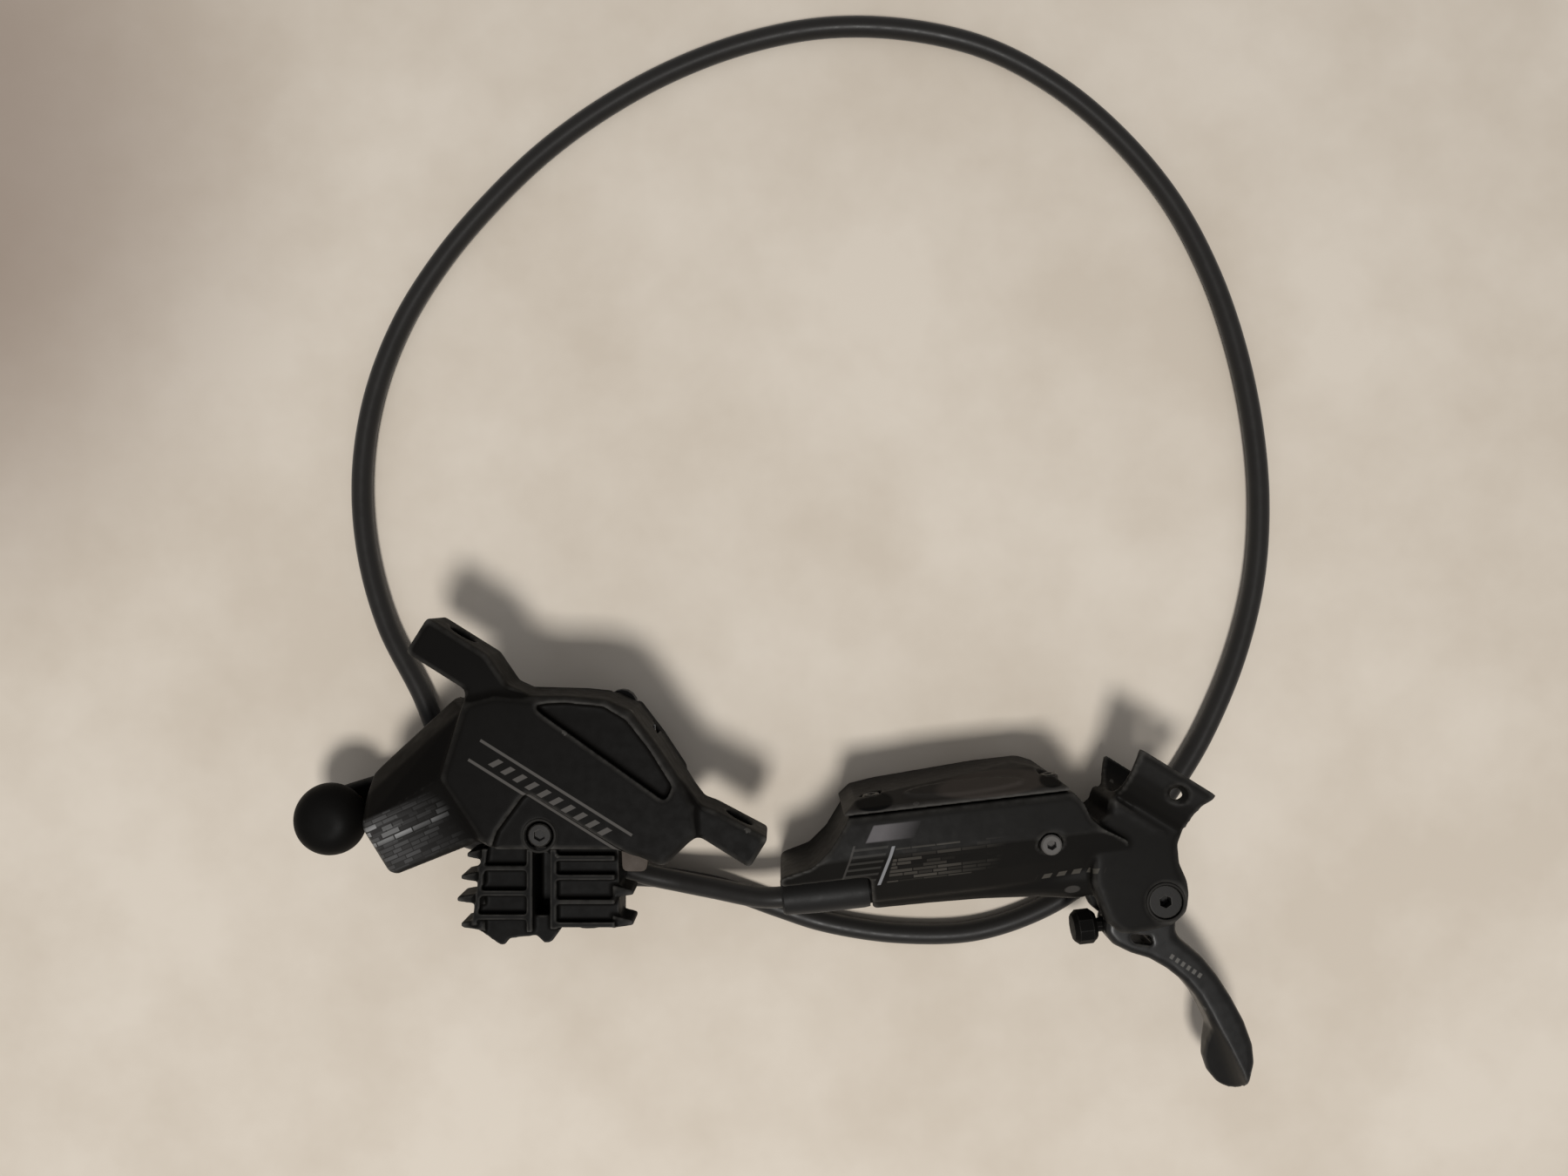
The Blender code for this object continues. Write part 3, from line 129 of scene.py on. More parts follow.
# Stripes across a coordinate, spaced by pitch and as wide as their share of it, with soft edges.
def stripeShare(tree, along, pitch, share, edge):
    place = calc(tree, "FRACT", calc(tree, "DIVIDE", along, pitch))
    fromMiddle = calc(tree, "ABSOLUTE", calc(tree, "SUBTRACT", place, 0.5))
    return calc(tree, "MULTIPLY", calc(tree, "SUBTRACT", share / 2, fromMiddle), pitch / edge, clamp=True)


# Where one motif shows; motifs are prints and patches of painted light. Its own x and y, in millimetres, are turned
# with it and lean by lean times y.
# The mask is the share inside its edges, times its pattern, its fade, the upward facing and the height.
def motifMask(tree, given):
    spot = {**plainMotif, **given}
    link = tree.links.new
    where = wired(tree, "ShaderNodeTexCoord")
    own = wired(tree, "ShaderNodeMapping", vector_type="TEXTURE", Rotation=(0, 0, math.radians(spot["turn"])),
                Location=(spot["at"][0] * millimetre, spot["at"][1] * millimetre, 0), Scale=(millimetre,) * 3)
    link(where.outputs["Object"], own.inputs["Vector"])
    split = wired(tree, "ShaderNodeSeparateXYZ")
    link(own.outputs["Vector"], split.inputs[0])
    halfX, halfY = spot["half"]
    edge = spot["edge"]
    y = split.outputs["Y"]
    x = calc(tree, "SUBTRACT", split.outputs["X"], calc(tree, "MULTIPLY", y, spot["lean"]))
    factors = [insideShare(tree, x, halfX, edge), insideShare(tree, y, halfY, edge)]
    if spot["oval"]:     # the distance from the middle is 1 at the oval's rim
        squares = [calc(tree, "POWER", calc(tree, "ABSOLUTE", calc(tree, "DIVIDE", along, half)), 2.0)
                   for along, half in ((x, halfX), (y, halfY))]
        out = calc(tree, "SQRT", calc(tree, "ADD", *squares))
        factors = [calc(tree, "DIVIDE", calc(tree, "SUBTRACT", 1.0, out), edge / halfY, clamp=True)]
    if spot["lines"]:    # fine lines side by side across y
        factors.append(stripeShare(tree, y, *spot["lines"], edge))
    if spot["bars"]:     # short bars one after the other along x
        factors.append(stripeShare(tree, x, *spot["bars"], edge))
    if spot["dashes"]:   # rows of dashes, each in its own tone
        width, row, gap = spot["dashes"]
        wall = wired(tree, "ShaderNodeTexBrick", Mortar_Size=gap, Brick_Width=width, Row_Height=row, **dashWall)
        link(own.outputs["Vector"], wall.inputs["Vector"])
        factors.append(calc(tree, "POWER", wall.outputs["Color"], dashContrast))
    if spot["fade"]:     # full at the first x and gone at the second
        full, gone = spot["fade"]
        factors.append(calc(tree, "DIVIDE", calc(tree, "SUBTRACT", gone, x), gone - full, clamp=True))
    for output, start, slope in (("Normal", spot["face"], motifSlopes["facing"]),
                                 ("Object", spot["above"] * millimetre, motifSlopes["height"])):
        upward = wired(tree, "ShaderNodeSeparateXYZ")
        link(where.outputs[output], upward.inputs[0])
        over = calc(tree, "SUBTRACT", upward.outputs["Z"], start)
        factors.append(calc(tree, "MULTIPLY", over, slope, clamp=True))
    mask = factors[0]
    for factor in (*factors[1:], spot["strength"]):
        mask = calc(tree, "MULTIPLY", mask, factor)
    return mask


# What a finish has unless it says otherwise. The share of the painted edge highlight grows over rimFlat to rimSharp,
# the cosine between the rounded normal and the flat one, or on a skin over skinFlat to skinSharp, how far its surface
# bulges.
plainLook = dict(metal=0.0, specular=0.3, sheen=0.0, drift=90.0, grain=1600.0, patches=420.0, edgeHighlight=0.35, edge=0.0003,
                 uneven=0.05, bump=0.25, depth=0.00006, skin=False)
edgeHighlightRange = dict(rimFlat=0.995, rimSharp=0.86, skinFlat=0.507, skinSharp=0.55, samples=6)
shadeShare, edgeHighlightGain, edgeHighlightLift = 0.8, 2.6, 0.04


# One finish: two tones that drift into each other, a painted highlight on convex edges, prints and painted light,
# grain and uneven gloss.
def brakeFinish(name, given, motifs=()):
    look = {**plainLook, **given}
    colour = look["colour"]
    shade = look.get("shade", tuple(c * shadeShare for c in colour))
    edgeHighlightTone = look.get("edgeHighlightTone", tuple(min(1.0, c * edgeHighlightGain + edgeHighlightLift) for c in colour))
    made = bpy.data.materials.new(name)
    made.use_nodes = True
    tree = made.node_tree
    link = tree.links.new
    shader = tree.nodes["Principled BSDF"]
    shader.inputs["Metallic"].default_value = look["metal"]
    shader.inputs["Specular IOR Level"].default_value = look["specular"]
    shader.inputs["Sheen Weight"].default_value = look["sheen"]
    shader.inputs["Sheen Roughness"].default_value = 0.5
    where = wired(tree, "ShaderNodeTexCoord")
    drift = wired(tree, "ShaderNodeTexNoise", Scale=look["drift"], Detail=4.0)
    grain = wired(tree, "ShaderNodeTexNoise", Scale=look["grain"], Detail=3.0)
    patches = wired(tree, "ShaderNodeTexNoise", Scale=look["patches"], Detail=6.0)
    for texture in (drift, grain, patches):
        link(where.outputs["Object"], texture.inputs["Vector"])
    plain = wired(tree, "ShaderNodeNewGeometry")
    rim = wired(tree, "ShaderNodeMapRange", To_Min=0.0, To_Max=look["edgeHighlight"])
    if look["skin"]:
        rim.inputs["From Min"].default_value = edgeHighlightRange["skinFlat"]
        rim.inputs["From Max"].default_value = edgeHighlightRange["skinSharp"]
        link(plain.outputs["Pointiness"], rim.inputs["Value"])
    else:
        soft = wired(tree, "ShaderNodeBevel", samples=edgeHighlightRange["samples"], Radius=look["edge"])
        turn = wired(tree, "ShaderNodeVectorMath", operation="DOT_PRODUCT")
        link(soft.outputs["Normal"], turn.inputs[0])
        link(plain.outputs["Normal"], turn.inputs[1])
        rim.inputs["From Min"].default_value = edgeHighlightRange["rimFlat"]
        rim.inputs["From Max"].default_value = edgeHighlightRange["rimSharp"]
        link(turn.outputs["Value"], rim.inputs["Value"])
    tone = mixed(tree, drift.outputs["Fac"], colour, shade)
    # Painted highlight: convex edges turn towards a lighter tone, in patches, as if they caught the lamp.
    tone = mixed(tree, calc(tree, "MULTIPLY", rim.outputs["Result"], patches.outputs["Fac"]), tone, edgeHighlightTone)
    for spot in motifs:
        tone = mixed(tree, motifMask(tree, spot), tone, spot["motifColour"])
    link(tone, shader.inputs["Base Color"])
    gloss = wired(tree, "ShaderNodeMapRange", From_Min=0.3, From_Max=0.7, To_Min=look["rough"] - look["uneven"],
                  To_Max=look["rough"] + look["uneven"])
    link(patches.outputs["Fac"], gloss.inputs["Value"])
    link(gloss.outputs["Result"], shader.inputs["Roughness"])
    bump = wired(tree, "ShaderNodeBump", Strength=look["bump"], Distance=look["depth"])
    link(grain.outputs["Fac"], bump.inputs["Height"])
    if not look["skin"]:
        link(soft.outputs["Normal"], bump.inputs["Normal"])
    link(bump.outputs["Normal"], shader.inputs["Normal"])
    return made


# In each finish, the lighter edge tone and its share set a painted highlight on convex edges.
castBlack = dict(colour=(0.003, 0.0026, 0.0022), shade=(0.0044, 0.0039, 0.0034), rough=0.48, specular=0.035,
                 grain=2600.0, bump=0.1, depth=0.00005, edge=0.0005, edgeHighlight=0.8, edgeHighlightTone=(0.105, 0.099, 0.09))
# A lighter copy of the caliper's black paint: the extra lightness is painted reflection for the lever's stronger
# sheen.
leverBlack = dict(castBlack, colour=(0.0052, 0.0047, 0.0041), shade=(0.0078, 0.0072, 0.0064), rough=0.46,
                  specular=0.045)
mouldBlack = dict(colour=(0.003, 0.0027, 0.0024), shade=(0.0046, 0.0042, 0.0037), rough=0.48, specular=0.04,
                  grain=3200.0, bump=0.15, depth=0.00004, edge=0.00035, edgeHighlight=0.8, edgeHighlightTone=(0.085, 0.08, 0.073))
castSkinLook = dict(castBlack, skin=True)
leverSkinLook = dict(leverBlack, skin=True)
bladeSkinLook = dict(leverBlack, colour=(0.0068, 0.0062, 0.0056), rough=0.34, specular=0.19, skin=True)
coverSkinLook = dict(mouldBlack, colour=(0.0165, 0.015, 0.0133), shade=(0.0215, 0.0195, 0.0175), skin=True)
finishes = {
    "castPaint": castBlack,
    "castSkin": castSkinLook,
    "leverPaint": leverBlack,
    "mouldedPlastic": mouldBlack,
    "mouldedSkin": dict(mouldBlack, skin=True),
    # Painted highlight: the raised rims' tone is lighter than the black paint round them.
    "rimPaintedHighlight": dict(castBlack, colour=(0.026, 0.0243, 0.022), shade=(0.016, 0.015, 0.0136), edgeHighlight=0.0),
    "hoseRubber": dict(colour=(0.012, 0.0108, 0.0097), shade=(0.0165, 0.015, 0.0136), rough=0.4, specular=0.16,
                       uneven=0.06, grain=2200.0, bump=0.2, depth=0.00005, edge=0.0001, edgeHighlight=0.0, sheen=0.1),
    "softRubber": dict(colour=(0.0075, 0.007, 0.0064), shade=(0.0102, 0.0095, 0.0088), rough=0.5, specular=0.12,
                       grain=1800.0, bump=0.3, edge=0.0002, edgeHighlight=0.2, sheen=0.08),
    "dullSteel": dict(colour=(0.085, 0.079, 0.073), shade=(0.065, 0.061, 0.056), rough=0.5, specular=0.15,
                      grain=1800.0, bump=0.2, edge=0.0002, edgeHighlight=0.4, edgeHighlightTone=(0.17, 0.16, 0.145)),
    "bluedSteel": dict(colour=(0.018, 0.0168, 0.0152), shade=(0.0135, 0.0125, 0.0115), rough=0.45, specular=0.12,
                       grain=1800.0, bump=0.2, edgeHighlight=0.9, edgeHighlightTone=(0.12, 0.112, 0.1)),
    "blackedSteel": dict(colour=(0.035, 0.033, 0.031), rough=0.36, metal=0.85, grain=2400.0, bump=0.1, edgeHighlight=0.8,
                         edgeHighlightTone=(0.2, 0.19, 0.18)),
    "brightSteel": dict(colour=(0.55, 0.54, 0.52), shade=(0.4, 0.39, 0.38), rough=0.28, metal=1.0, grain=900.0,
                        bump=0.08, edge=0.0002, edgeHighlight=0.5),
    "tanPlate": dict(colour=(0.058, 0.045, 0.036), shade=(0.042, 0.033, 0.026), rough=0.55, metal=0.1,
                     specular=0.12, grain=1500.0, bump=0.35, edge=0.00025, edgeHighlight=0.4, edgeHighlightTone=(0.2, 0.17, 0.14)),
    "padLining": dict(colour=(0.075, 0.06, 0.048), shade=(0.12, 0.095, 0.07), drift=900.0, rough=0.85,
                      grain=1200.0, bump=0.6, depth=0.0001, edge=0.0002, edgeHighlight=0.3),
    "darkPiston": dict(colour=(0.03, 0.028, 0.027), rough=0.4, grain=1500.0, bump=0.15, edge=0.0002, edgeHighlight=0.3),
    "copperWasher": dict(colour=(0.52, 0.26, 0.13), shade=(0.4, 0.19, 0.1), rough=0.35, metal=1.0, edge=0.0001,
                         edgeHighlight=0.3),
    "brassOlive": dict(colour=(0.58, 0.42, 0.17), rough=0.35, metal=1.0, edge=0.0001, edgeHighlight=0.3),
    "bareAluminium": dict(colour=(0.6, 0.6, 0.6), shade=(0.5, 0.5, 0.5), rough=0.35, metal=1.0, grain=1200.0,
                          bump=0.1, edge=0.0002, edgeHighlight=0.3),
}

# The prints and patches of painted light, in millimetres of the row frame: where, half sizes, turn in degrees, pattern
# and colour.
greyInk = (0.092, 0.085, 0.078)
caliperMarks = dict(turn=-32.1, motifColour=greyInk, strength=0.7, above=30)
armPatternAndHighlight = dict(turn=24.5, lean=-0.25, above=10)
caliperPrintsAndHighlights = [
    dict(caliperMarks, at=(9.5, -1.4), half=(19.5, 0.36)),
    dict(caliperMarks, at=(6.9, -5.6), half=(19.5, 0.36)),
    dict(caliperMarks, at=(8.2, -3.5), half=(15.5, 1.15), lean=0.6, bars=(3.1, 0.45)),
    # Painted reflection: a faint lighter patch over the arm's facet, fading to the right.
    dict(armPatternAndHighlight, at=(-26.3, -13.2), half=(14.5, 6.8), fade=(-2.0, 14.0), edge=0.6, motifColour=(0.024, 0.023, 0.022)),
    # The arm's dash pattern is print; its brighter upper row and its fade to the right are a painted highlight.
    dict(armPatternAndHighlight, at=(-26.3, -13.2), half=(14.5, 6.6), dashes=(3.9, 1.0, 0.14), fade=(-3.0, 14.0), edge=0.3,
         motifColour=(0.075, 0.074, 0.073), strength=0.9),
    dict(armPatternAndHighlight, at=(-26.0, -10.4), half=(13.0, 3.0), dashes=(4.7, 1.3, 0.2), fade=(0.0, 13.0), edge=1.2,
         motifColour=(0.27, 0.268, 0.265), strength=0.85),
]
leverMarksAndReflections = dict(turn=6.6, above=22)
leverPrintsAndReflections = [
    # Painted reflection: the light grey window patch on the lever's bevelled facet, fading to the right.
    dict(leverMarksAndReflections, at=(83.6, -12.6), half=(5.6, 2.0), lean=0.6, fade=(-2.5, 5.8), edge=0.35,
         motifColour=(0.098, 0.091, 0.093), strength=0.9),
    dict(leverMarksAndReflections, at=(77.3, -20.6), half=(3.9, 4.9), lean=0.42, lines=(1.6, 0.42), motifColour=(0.026, 0.0245, 0.022)),
    dict(leverMarksAndReflections, at=(73.3, -20.9), half=(0.3, 4.9), lean=0.42, motifColour=(0.04, 0.037, 0.034), strength=0.9),
    # Painted reflection: the thin light line along the facet's edge.
    dict(leverMarksAndReflections, at=(82.1, -20.8), half=(0.42, 4.8), lean=0.42, motifColour=(0.2, 0.2, 0.205), strength=0.9),
    dict(leverMarksAndReflections, at=(95.8, -19.3), half=(12.8, 4.4), lean=0.3, dashes=(5.6, 0.95, 0.15), fade=(0.0, 12.8),
         edge=0.3, motifColour=(0.05, 0.045, 0.038)),
    dict(at=(124.5, -23.3), half=(7.6, 0.62), turn=10.0, lean=0.6, bars=(3.4, 0.6), motifColour=(0.055, 0.05, 0.042),
         strength=0.9, above=20),
    dict(at=(125.6, -27.6), half=(1.9, 1.1), turn=10.0, oval=True, edge=0.25, motifColour=(0.04, 0.037, 0.034),
         strength=0.9, above=18),
]
bladePrints = [
    dict(at=(152.2, -45.7), half=(4.6, 0.62), turn=-34.0, bars=(1.55, 0.6), motifColour=(0.085, 0.08, 0.072),
         strength=0.9, above=19),
]
# The shared near-black colour is painted shade for the cover screws' recesses.
coverOvalsAndShade = dict(turn=6.6, oval=True, edge=0.3, motifColour=(0.002, 0.002, 0.002), strength=0.95, above=20, face=0.0)
coverPrintsAndShade = [
    dict(coverOvalsAndShade, at=(106.4, -2.6), half=(14.0, 2.4), edge=0.4, motifColour=(0.044, 0.037, 0.032), strength=0.9,
         face=0.1),
    # Painted shade: near-black ovals in the cover screws' recesses.
    dict(coverOvalsAndShade, at=(79.4, -6.5), half=(4.7, 1.75)),
    dict(coverOvalsAndShade, at=(119.6, -1.6), half=(2.9, 1.4)),
]
motifLooks = {
    "caliperPrintAndHighlight": (castSkinLook, caliperPrintsAndHighlights),
    "leverPrintAndReflection": (leverSkinLook, leverPrintsAndReflections),
    "coverPrintAndShade": (coverSkinLook, coverPrintsAndShade),
    "bladePrinted": (bladeSkinLook, bladePrints),
}
grades = {name: brakeFinish(name, look) for name, look in finishes.items()}
grades.update({name: brakeFinish(name, look, motifs) for name, (look, motifs) in motifLooks.items()})
print("finishes made:", len(grades))

mergeDistance = 0.000002
shellAngle = 33


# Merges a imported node's loose triangles and shades it smooth wherever its faces meet at a small angle.
def smoothedShell():
    tree = bpy.data.node_groups.new("smoothedShell", "GeometryNodeTree")
    tree.interface.new_socket("Geometry", in_out="INPUT", socket_type="NodeSocketGeometry")
    tree.interface.new_socket("Geometry", in_out="OUTPUT", socket_type="NodeSocketGeometry")
    start = tree.nodes.new("NodeGroupInput")
    end = tree.nodes.new("NodeGroupOutput")
    merge = tree.nodes.new("GeometryNodeMergeByDistance")
    merge.inputs["Distance"].default_value = mergeDistance
    drop = tree.nodes.new("GeometryNodeRemoveAttribute")
    drop.inputs["Name"].default_value = "custom_normal"
    faces = tree.nodes.new("GeometryNodeSetShadeSmooth")
    faces.domain = "FACE"
    edges = tree.nodes.new("GeometryNodeSetShadeSmooth")
    edges.domain = "EDGE"
    edges.inputs["Shade Smooth"].default_value = False
    angle = tree.nodes.new("GeometryNodeInputMeshEdgeAngle")
    sharp = tree.nodes.new("FunctionNodeCompare")
    sharp.operation = "GREATER_THAN"
    sharp.inputs["B"].default_value = math.radians(shellAngle)
    link = tree.links.new
    link(start.outputs[0], drop.inputs["Geometry"])
    link(drop.outputs["Geometry"], merge.inputs["Geometry"])
    link(merge.outputs["Geometry"], faces.inputs["Geometry"])
    link(faces.outputs["Geometry"], edges.inputs["Geometry"])
    link(angle.outputs["Unsigned Angle"], sharp.inputs["A"])
    link(sharp.outputs["Result"], edges.inputs["Selection"])
    link(edges.outputs["Geometry"], end.inputs[0])
    return tree


shell = smoothedShell()
nodeFinish = {
    "castPaint": ["caliper_outboard", "caliper_inboard", "banjo"],
    "leverPaint": ["lever_housing", "lever_blade"],
    "mouldedPlastic": ["reservoir_cover", "pad_spacer", "reach_knob", "caliper_bleed_cap", "banjo_bolt",
                       "hose_nut"],
    "dullSteel": ["lever_bleed_screw"],
    "bluedSteel": ["pad_pin", "pivot_pin"],
    "blackedSteel": ["body_bolt_1", "body_bolt_2", "hose_ferrule", "cover_screw_1", "cover_screw_2", "pushrod",
                     "caliper_bleed_screw", "pivot_bush_lower", "pivot_bush_upper"],
    "brightSteel": ["pin_clip", "pad_spring", "circlip", "return_spring"],
    "tanPlate": ["backing_plate_outboard", "backing_plate_inboard"],
    "padLining": ["friction_pad_outboard", "friction_pad_inboard"],
    "darkPiston": ["piston_outboard_1", "piston_outboard_2", "piston_inboard_1", "piston_inboard_2"],
    "softRubber": ["hose_boot", "piston_seal_outboard_1", "piston_seal_outboard_2", "piston_seal_inboard_1",
                   "piston_seal_inboard_2", "primary_cup", "secondary_cup", "crossover_seal",
                   "reservoir_bladder"],
    "hoseRubber": ["brake_hose"],
    "copperWasher": ["banjo_washer_1", "banjo_washer_2"],
    "brassOlive": ["hose_olive"],
    "bareAluminium": ["master_piston"],
}
for grade, names in nodeFinish.items():
    for name in names:
        node = nodes[name]
        for holder in node.material_slots:
            holder.material = grades[grade]
        rounding = node.modifiers.new("smoothedShell", "NODES")
        rounding.node_group = shell
print("CAD nodes finished:", sum(len(names) for names in nodeFinish.values()))


# A mesh object at the origin from an array of points and a list of faces, finished and riding on its body.
def patchMesh(name, points, faces, grade, body, smooth=True):
    mesh = bpy.data.meshes.new(name)
    mesh.from_pydata(np.asarray(points, float).reshape(-1, 3).tolist(), [], faces)
    mesh.polygons.foreach_set("use_smooth", [smooth] * len(mesh.polygons))
    mesh.update()
    made = bpy.data.objects.new(name, mesh)
    bpy.context.scene.collection.objects.link(made)
    if grade:
        mesh.materials.append(grades[grade])
    if body:
        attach(made, body)
    return made


# Faces of a tube: quads between its rings of n points, and a fan at each end round one point added after the rings.
def tubeFaces(rings, n):
    r, c = np.meshgrid(np.arange(rings - 1), np.arange(n), indexing="ij")
    after = (c + 1) % n
    quads = np.stack([r * n + c, r * n + after, (r + 1) * n + after, (r + 1) * n + c], -1).reshape(-1, 4).tolist()
    last = (rings - 1) * n
    startFan = [((k + 1) % n, k, rings * n) for k in range(n)]
    endFan = [(last + k, last + (k + 1) % n, rings * n + 1) for k in range(n)]
    return quads + startFan + endFan


# The castings and mouldings: each is its solid's mesh, merged, remade in even cells and eased to round its edges.
skins = {
    "leverHousingSkin": dict(node="lever_housing", cell=0.00043, ease=12, grade="leverPrintAndReflection",
                             slot="black_paint"),
    "leverBladeSkin": dict(node="lever_blade", cell=0.00035, ease=12, grade="bladePrinted", slot="black_paint"),
    "reservoirCoverSkin": dict(node="reservoir_cover", cell=0.00038, ease=4, grade="coverPrintAndShade",
                               slot="black_plastic"),
    "caliperOutboardSkin": dict(node="caliper_outboard", cell=0.00042, ease=10, grade="caliperPrintAndHighlight",
                                slot="black_paint"),
    "caliperInboardSkin": dict(node="caliper_inboard", cell=0.00045, ease=6, grade="castSkin",
                               slot="black_paint"),
    "banjoSkin": dict(node="banjo", cell=0.00032, ease=6, grade="castSkin", slot="black_paint"),
    "padSpacerSkin": dict(node="pad_spacer", cell=0.00036, ease=4, grade="mouldedSkin", slot="black_plastic"),
}
easeShare = 0.5


def castSkin(name, skin):
    mesh = nodes[skin["node"]].data.copy()
    piece = bpy.data.objects.new(name, mesh)
    bpy.context.scene.collection.objects.link(piece)
    weld = piece.modifiers.new("weld", "WELD")
    weld.merge_threshold = mergeDistance
    cells = piece.modifiers.new("cells", "REMESH")
    cells.mode = "VOXEL"
    cells.voxel_size = skin["cell"]
    cells.use_smooth_shade = True
    ease = piece.modifiers.new("ease", "SMOOTH")
    ease.factor = easeShare
    ease.iterations = skin["ease"]
    eased = bpy.data.meshes.new_from_object(piece.evaluated_get(bpy.context.evaluated_depsgraph_get()))
    piece.modifiers.clear()
    piece.data = eased
    bpy.data.meshes.remove(mesh)
    eased.name = name
    eased.materials.clear()
    eased.materials.append(grades[skin["grade"]])
    eased.polygons.foreach_set("use_smooth", [True] * len(eased.polygons))
    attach(piece, "blade" if skin["node"] == "lever_blade" else "base")
    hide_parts(skin["node"])
    return piece


skinFaces = [len(castSkin(name, skin).data.polygons) for name, skin in skins.items()]
print("skins cast:", len(skinFaces), "with", sum(skinFaces), "faces")

# The banjo bolt, turned round its axis: a profile of radius and height, with a plain shank under its domed head.
# The dome's radius is a power of the cosine and its height a power of the sine of an angle from 0 to 90 degrees.
banjoDome = dict(at=(-0.046, -0.0115), radius=0.0084, low=0.0191, high=0.0268, shank=0.003, foot=0.0068,
                 bevel=0.0004, inset=0.0012, skirt=0.0016, squareOut=0.62, squareUp=1.15, rings=20, around=64)


def turnDome(look):
    lowest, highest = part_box("banjo_bolt")
    angle = np.linspace(0, math.pi / 2, look["rings"])[:-1]
    radius, shank, bevel, skirt = look["radius"], look["shank"], look["bevel"], look["skirt"]
    rise = look["high"] - look["low"] - skirt
    foot = look["foot"] - look["low"]
    radii = np.concatenate([[shank - bevel, shank, shank, radius - look["inset"], radius - bevel],
                            radius * np.cos(angle) ** look["squareOut"]])
    heights = look["low"] + np.concatenate([[foot, foot + bevel, 0.0, 0.0, bevel],
                                            skirt + rise * np.sin(angle) ** look["squareUp"]])
    spin = np.linspace(0, 2 * math.pi, look["around"], endpoint=False)
    rings = np.stack([look["at"][0] + radii[:, None] * np.cos(spin), look["at"][1] + radii[:, None] * np.sin(spin),
                      np.repeat(heights[:, None], look["around"], 1)], -1).reshape(-1, 3)
    ends = [[*look["at"], look["foot"]], [*look["at"], look["high"]]]
    made = patchMesh("banjoDome", np.vstack([rings, ends]), tubeFaces(len(radii), look["around"]),
                     "mouldedPlastic", "base")
    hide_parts("banjo_bolt")
    print("banjo dome on a bolt from", round(lowest[2] * 1000, 1), "to", round(highest[2] * 1000, 1), "mm")


turnDome(banjoDome)

# Thin raised rims round the pivot and the pad pin: a ring whose section is a flattened circle. Their tone, lighter
# than the black around them, is a painted highlight.
seatRims = {
    "pivotRim": dict(over="pivot_pin", radius=0.0042, wide=0.00028, high=0.0002, top=0.0266, along=72, around=12),
    "padPinRim": dict(over="pad_pin", radius=0.0035, wide=0.0003, high=0.0002, top=0.0361, along=72, around=12),
}


def seatRim(name, look):
    low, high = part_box(look["over"])
    centre = (np.array(low) + np.array(high)) / 2
    rings, sides = look["along"], look["around"]
    spin, curl = np.meshgrid(np.linspace(0, 2 * math.pi, rings, endpoint=False),
                             np.linspace(0, 2 * math.pi, sides, endpoint=False), indexing="ij")
    out = look["radius"] + look["wide"] * np.cos(curl)
    points = np.stack([centre[0] + out * np.cos(spin), centre[1] + out * np.sin(spin),
                       look["top"] + look["high"] * np.sin(curl)], -1)
    r, c = np.meshgrid(np.arange(rings), np.arange(sides), indexing="ij")
    nextR, nextC = (r + 1) % rings, (c + 1) % sides
    corners = [r * sides + c, nextR * sides + c, nextR * sides + nextC, r * sides + nextC]
    made = patchMesh(name, points, np.stack(corners, -1).reshape(-1, 4).tolist(), "rimPaintedHighlight", "base")


for name, look in seatRims.items():
    seatRim(name, look)
print("rims made:", len(seatRims))

# The hose: the same route as its solid, in millimetres of the row frame. Each barb point is at a reach from the eye.
brakeHose = dict(diameter=0.005, step=0.0016, leverAt=(145.7, -29.3), leverTurn=6.6, banjoAt=(-46.0, -11.5),
                 banjoTurn=-8.0, barbHeight=15.9, barbReach=(23.5, 17.5, 11.0), perSpan=24, roundness=6)
leverCos = math.cos(math.radians(brakeHose["leverTurn"]))
leverSin = math.sin(math.radians(brakeHose["leverTurn"]))


# Points of the lever's own frame, turned by its lean and moved to its pivot, in metres of the row frame.
def byLever(points):
    p = np.atleast_2d(np.asarray(points, float))
    x = brakeHose["leverAt"][0] + p[:, 0] * leverCos - p[:, 1] * leverSin
    y = brakeHose["leverAt"][1] + p[:, 0] * leverSin + p[:, 1] * leverCos
    return np.stack([x, y, p[:, 2]], 1) / 1000


# A centripetal curve through the points: each span is a cubic whose end slopes come from its neighbours.
def easedLine(points, step, perSpan):
    p = np.asarray(points, float)
    p = np.vstack([2 * p[0] - p[1], p, 2 * p[-1] - p[-2]])
    gap = np.maximum(np.linalg.norm(np.diff(p, axis=0), axis=1) ** 0.5, 1e-6)
    a, b = p[1:-2], p[2:-1]
    t1, t2, t3 = gap[:-2, None], gap[1:-1, None], gap[2:, None]
    leave = (a - p[:-3]) / t1 - (b - p[:-3]) / (t1 + t2) + (b - a) / t2
    enter = (b - a) / t2 - (p[3:] - a) / (t2 + t3) + (p[3:] - b) / t3
    t = np.linspace(0, 1, perSpan, endpoint=False)[:, None, None]
    line = a * (2 * t**3 - 3 * t**2 + 1) + b * (3 * t**2 - 2 * t**3)
    line = line + (leave * (t**3 - 2 * t**2 + t) + enter * (t**3 - t**2)) * t2
    line = np.vstack([line.transpose(1, 0, 2).reshape(-1, 3), p[-2]])
    run = np.concatenate([[0], np.cumsum(np.linalg.norm(np.diff(line, axis=0), axis=1))])
    want = np.linspace(0, run[-1], int(round(run[-1] / step)) + 1)
    return np.stack([np.interp(want, run, line[:, k]) for k in range(3)], 1), run[-1]


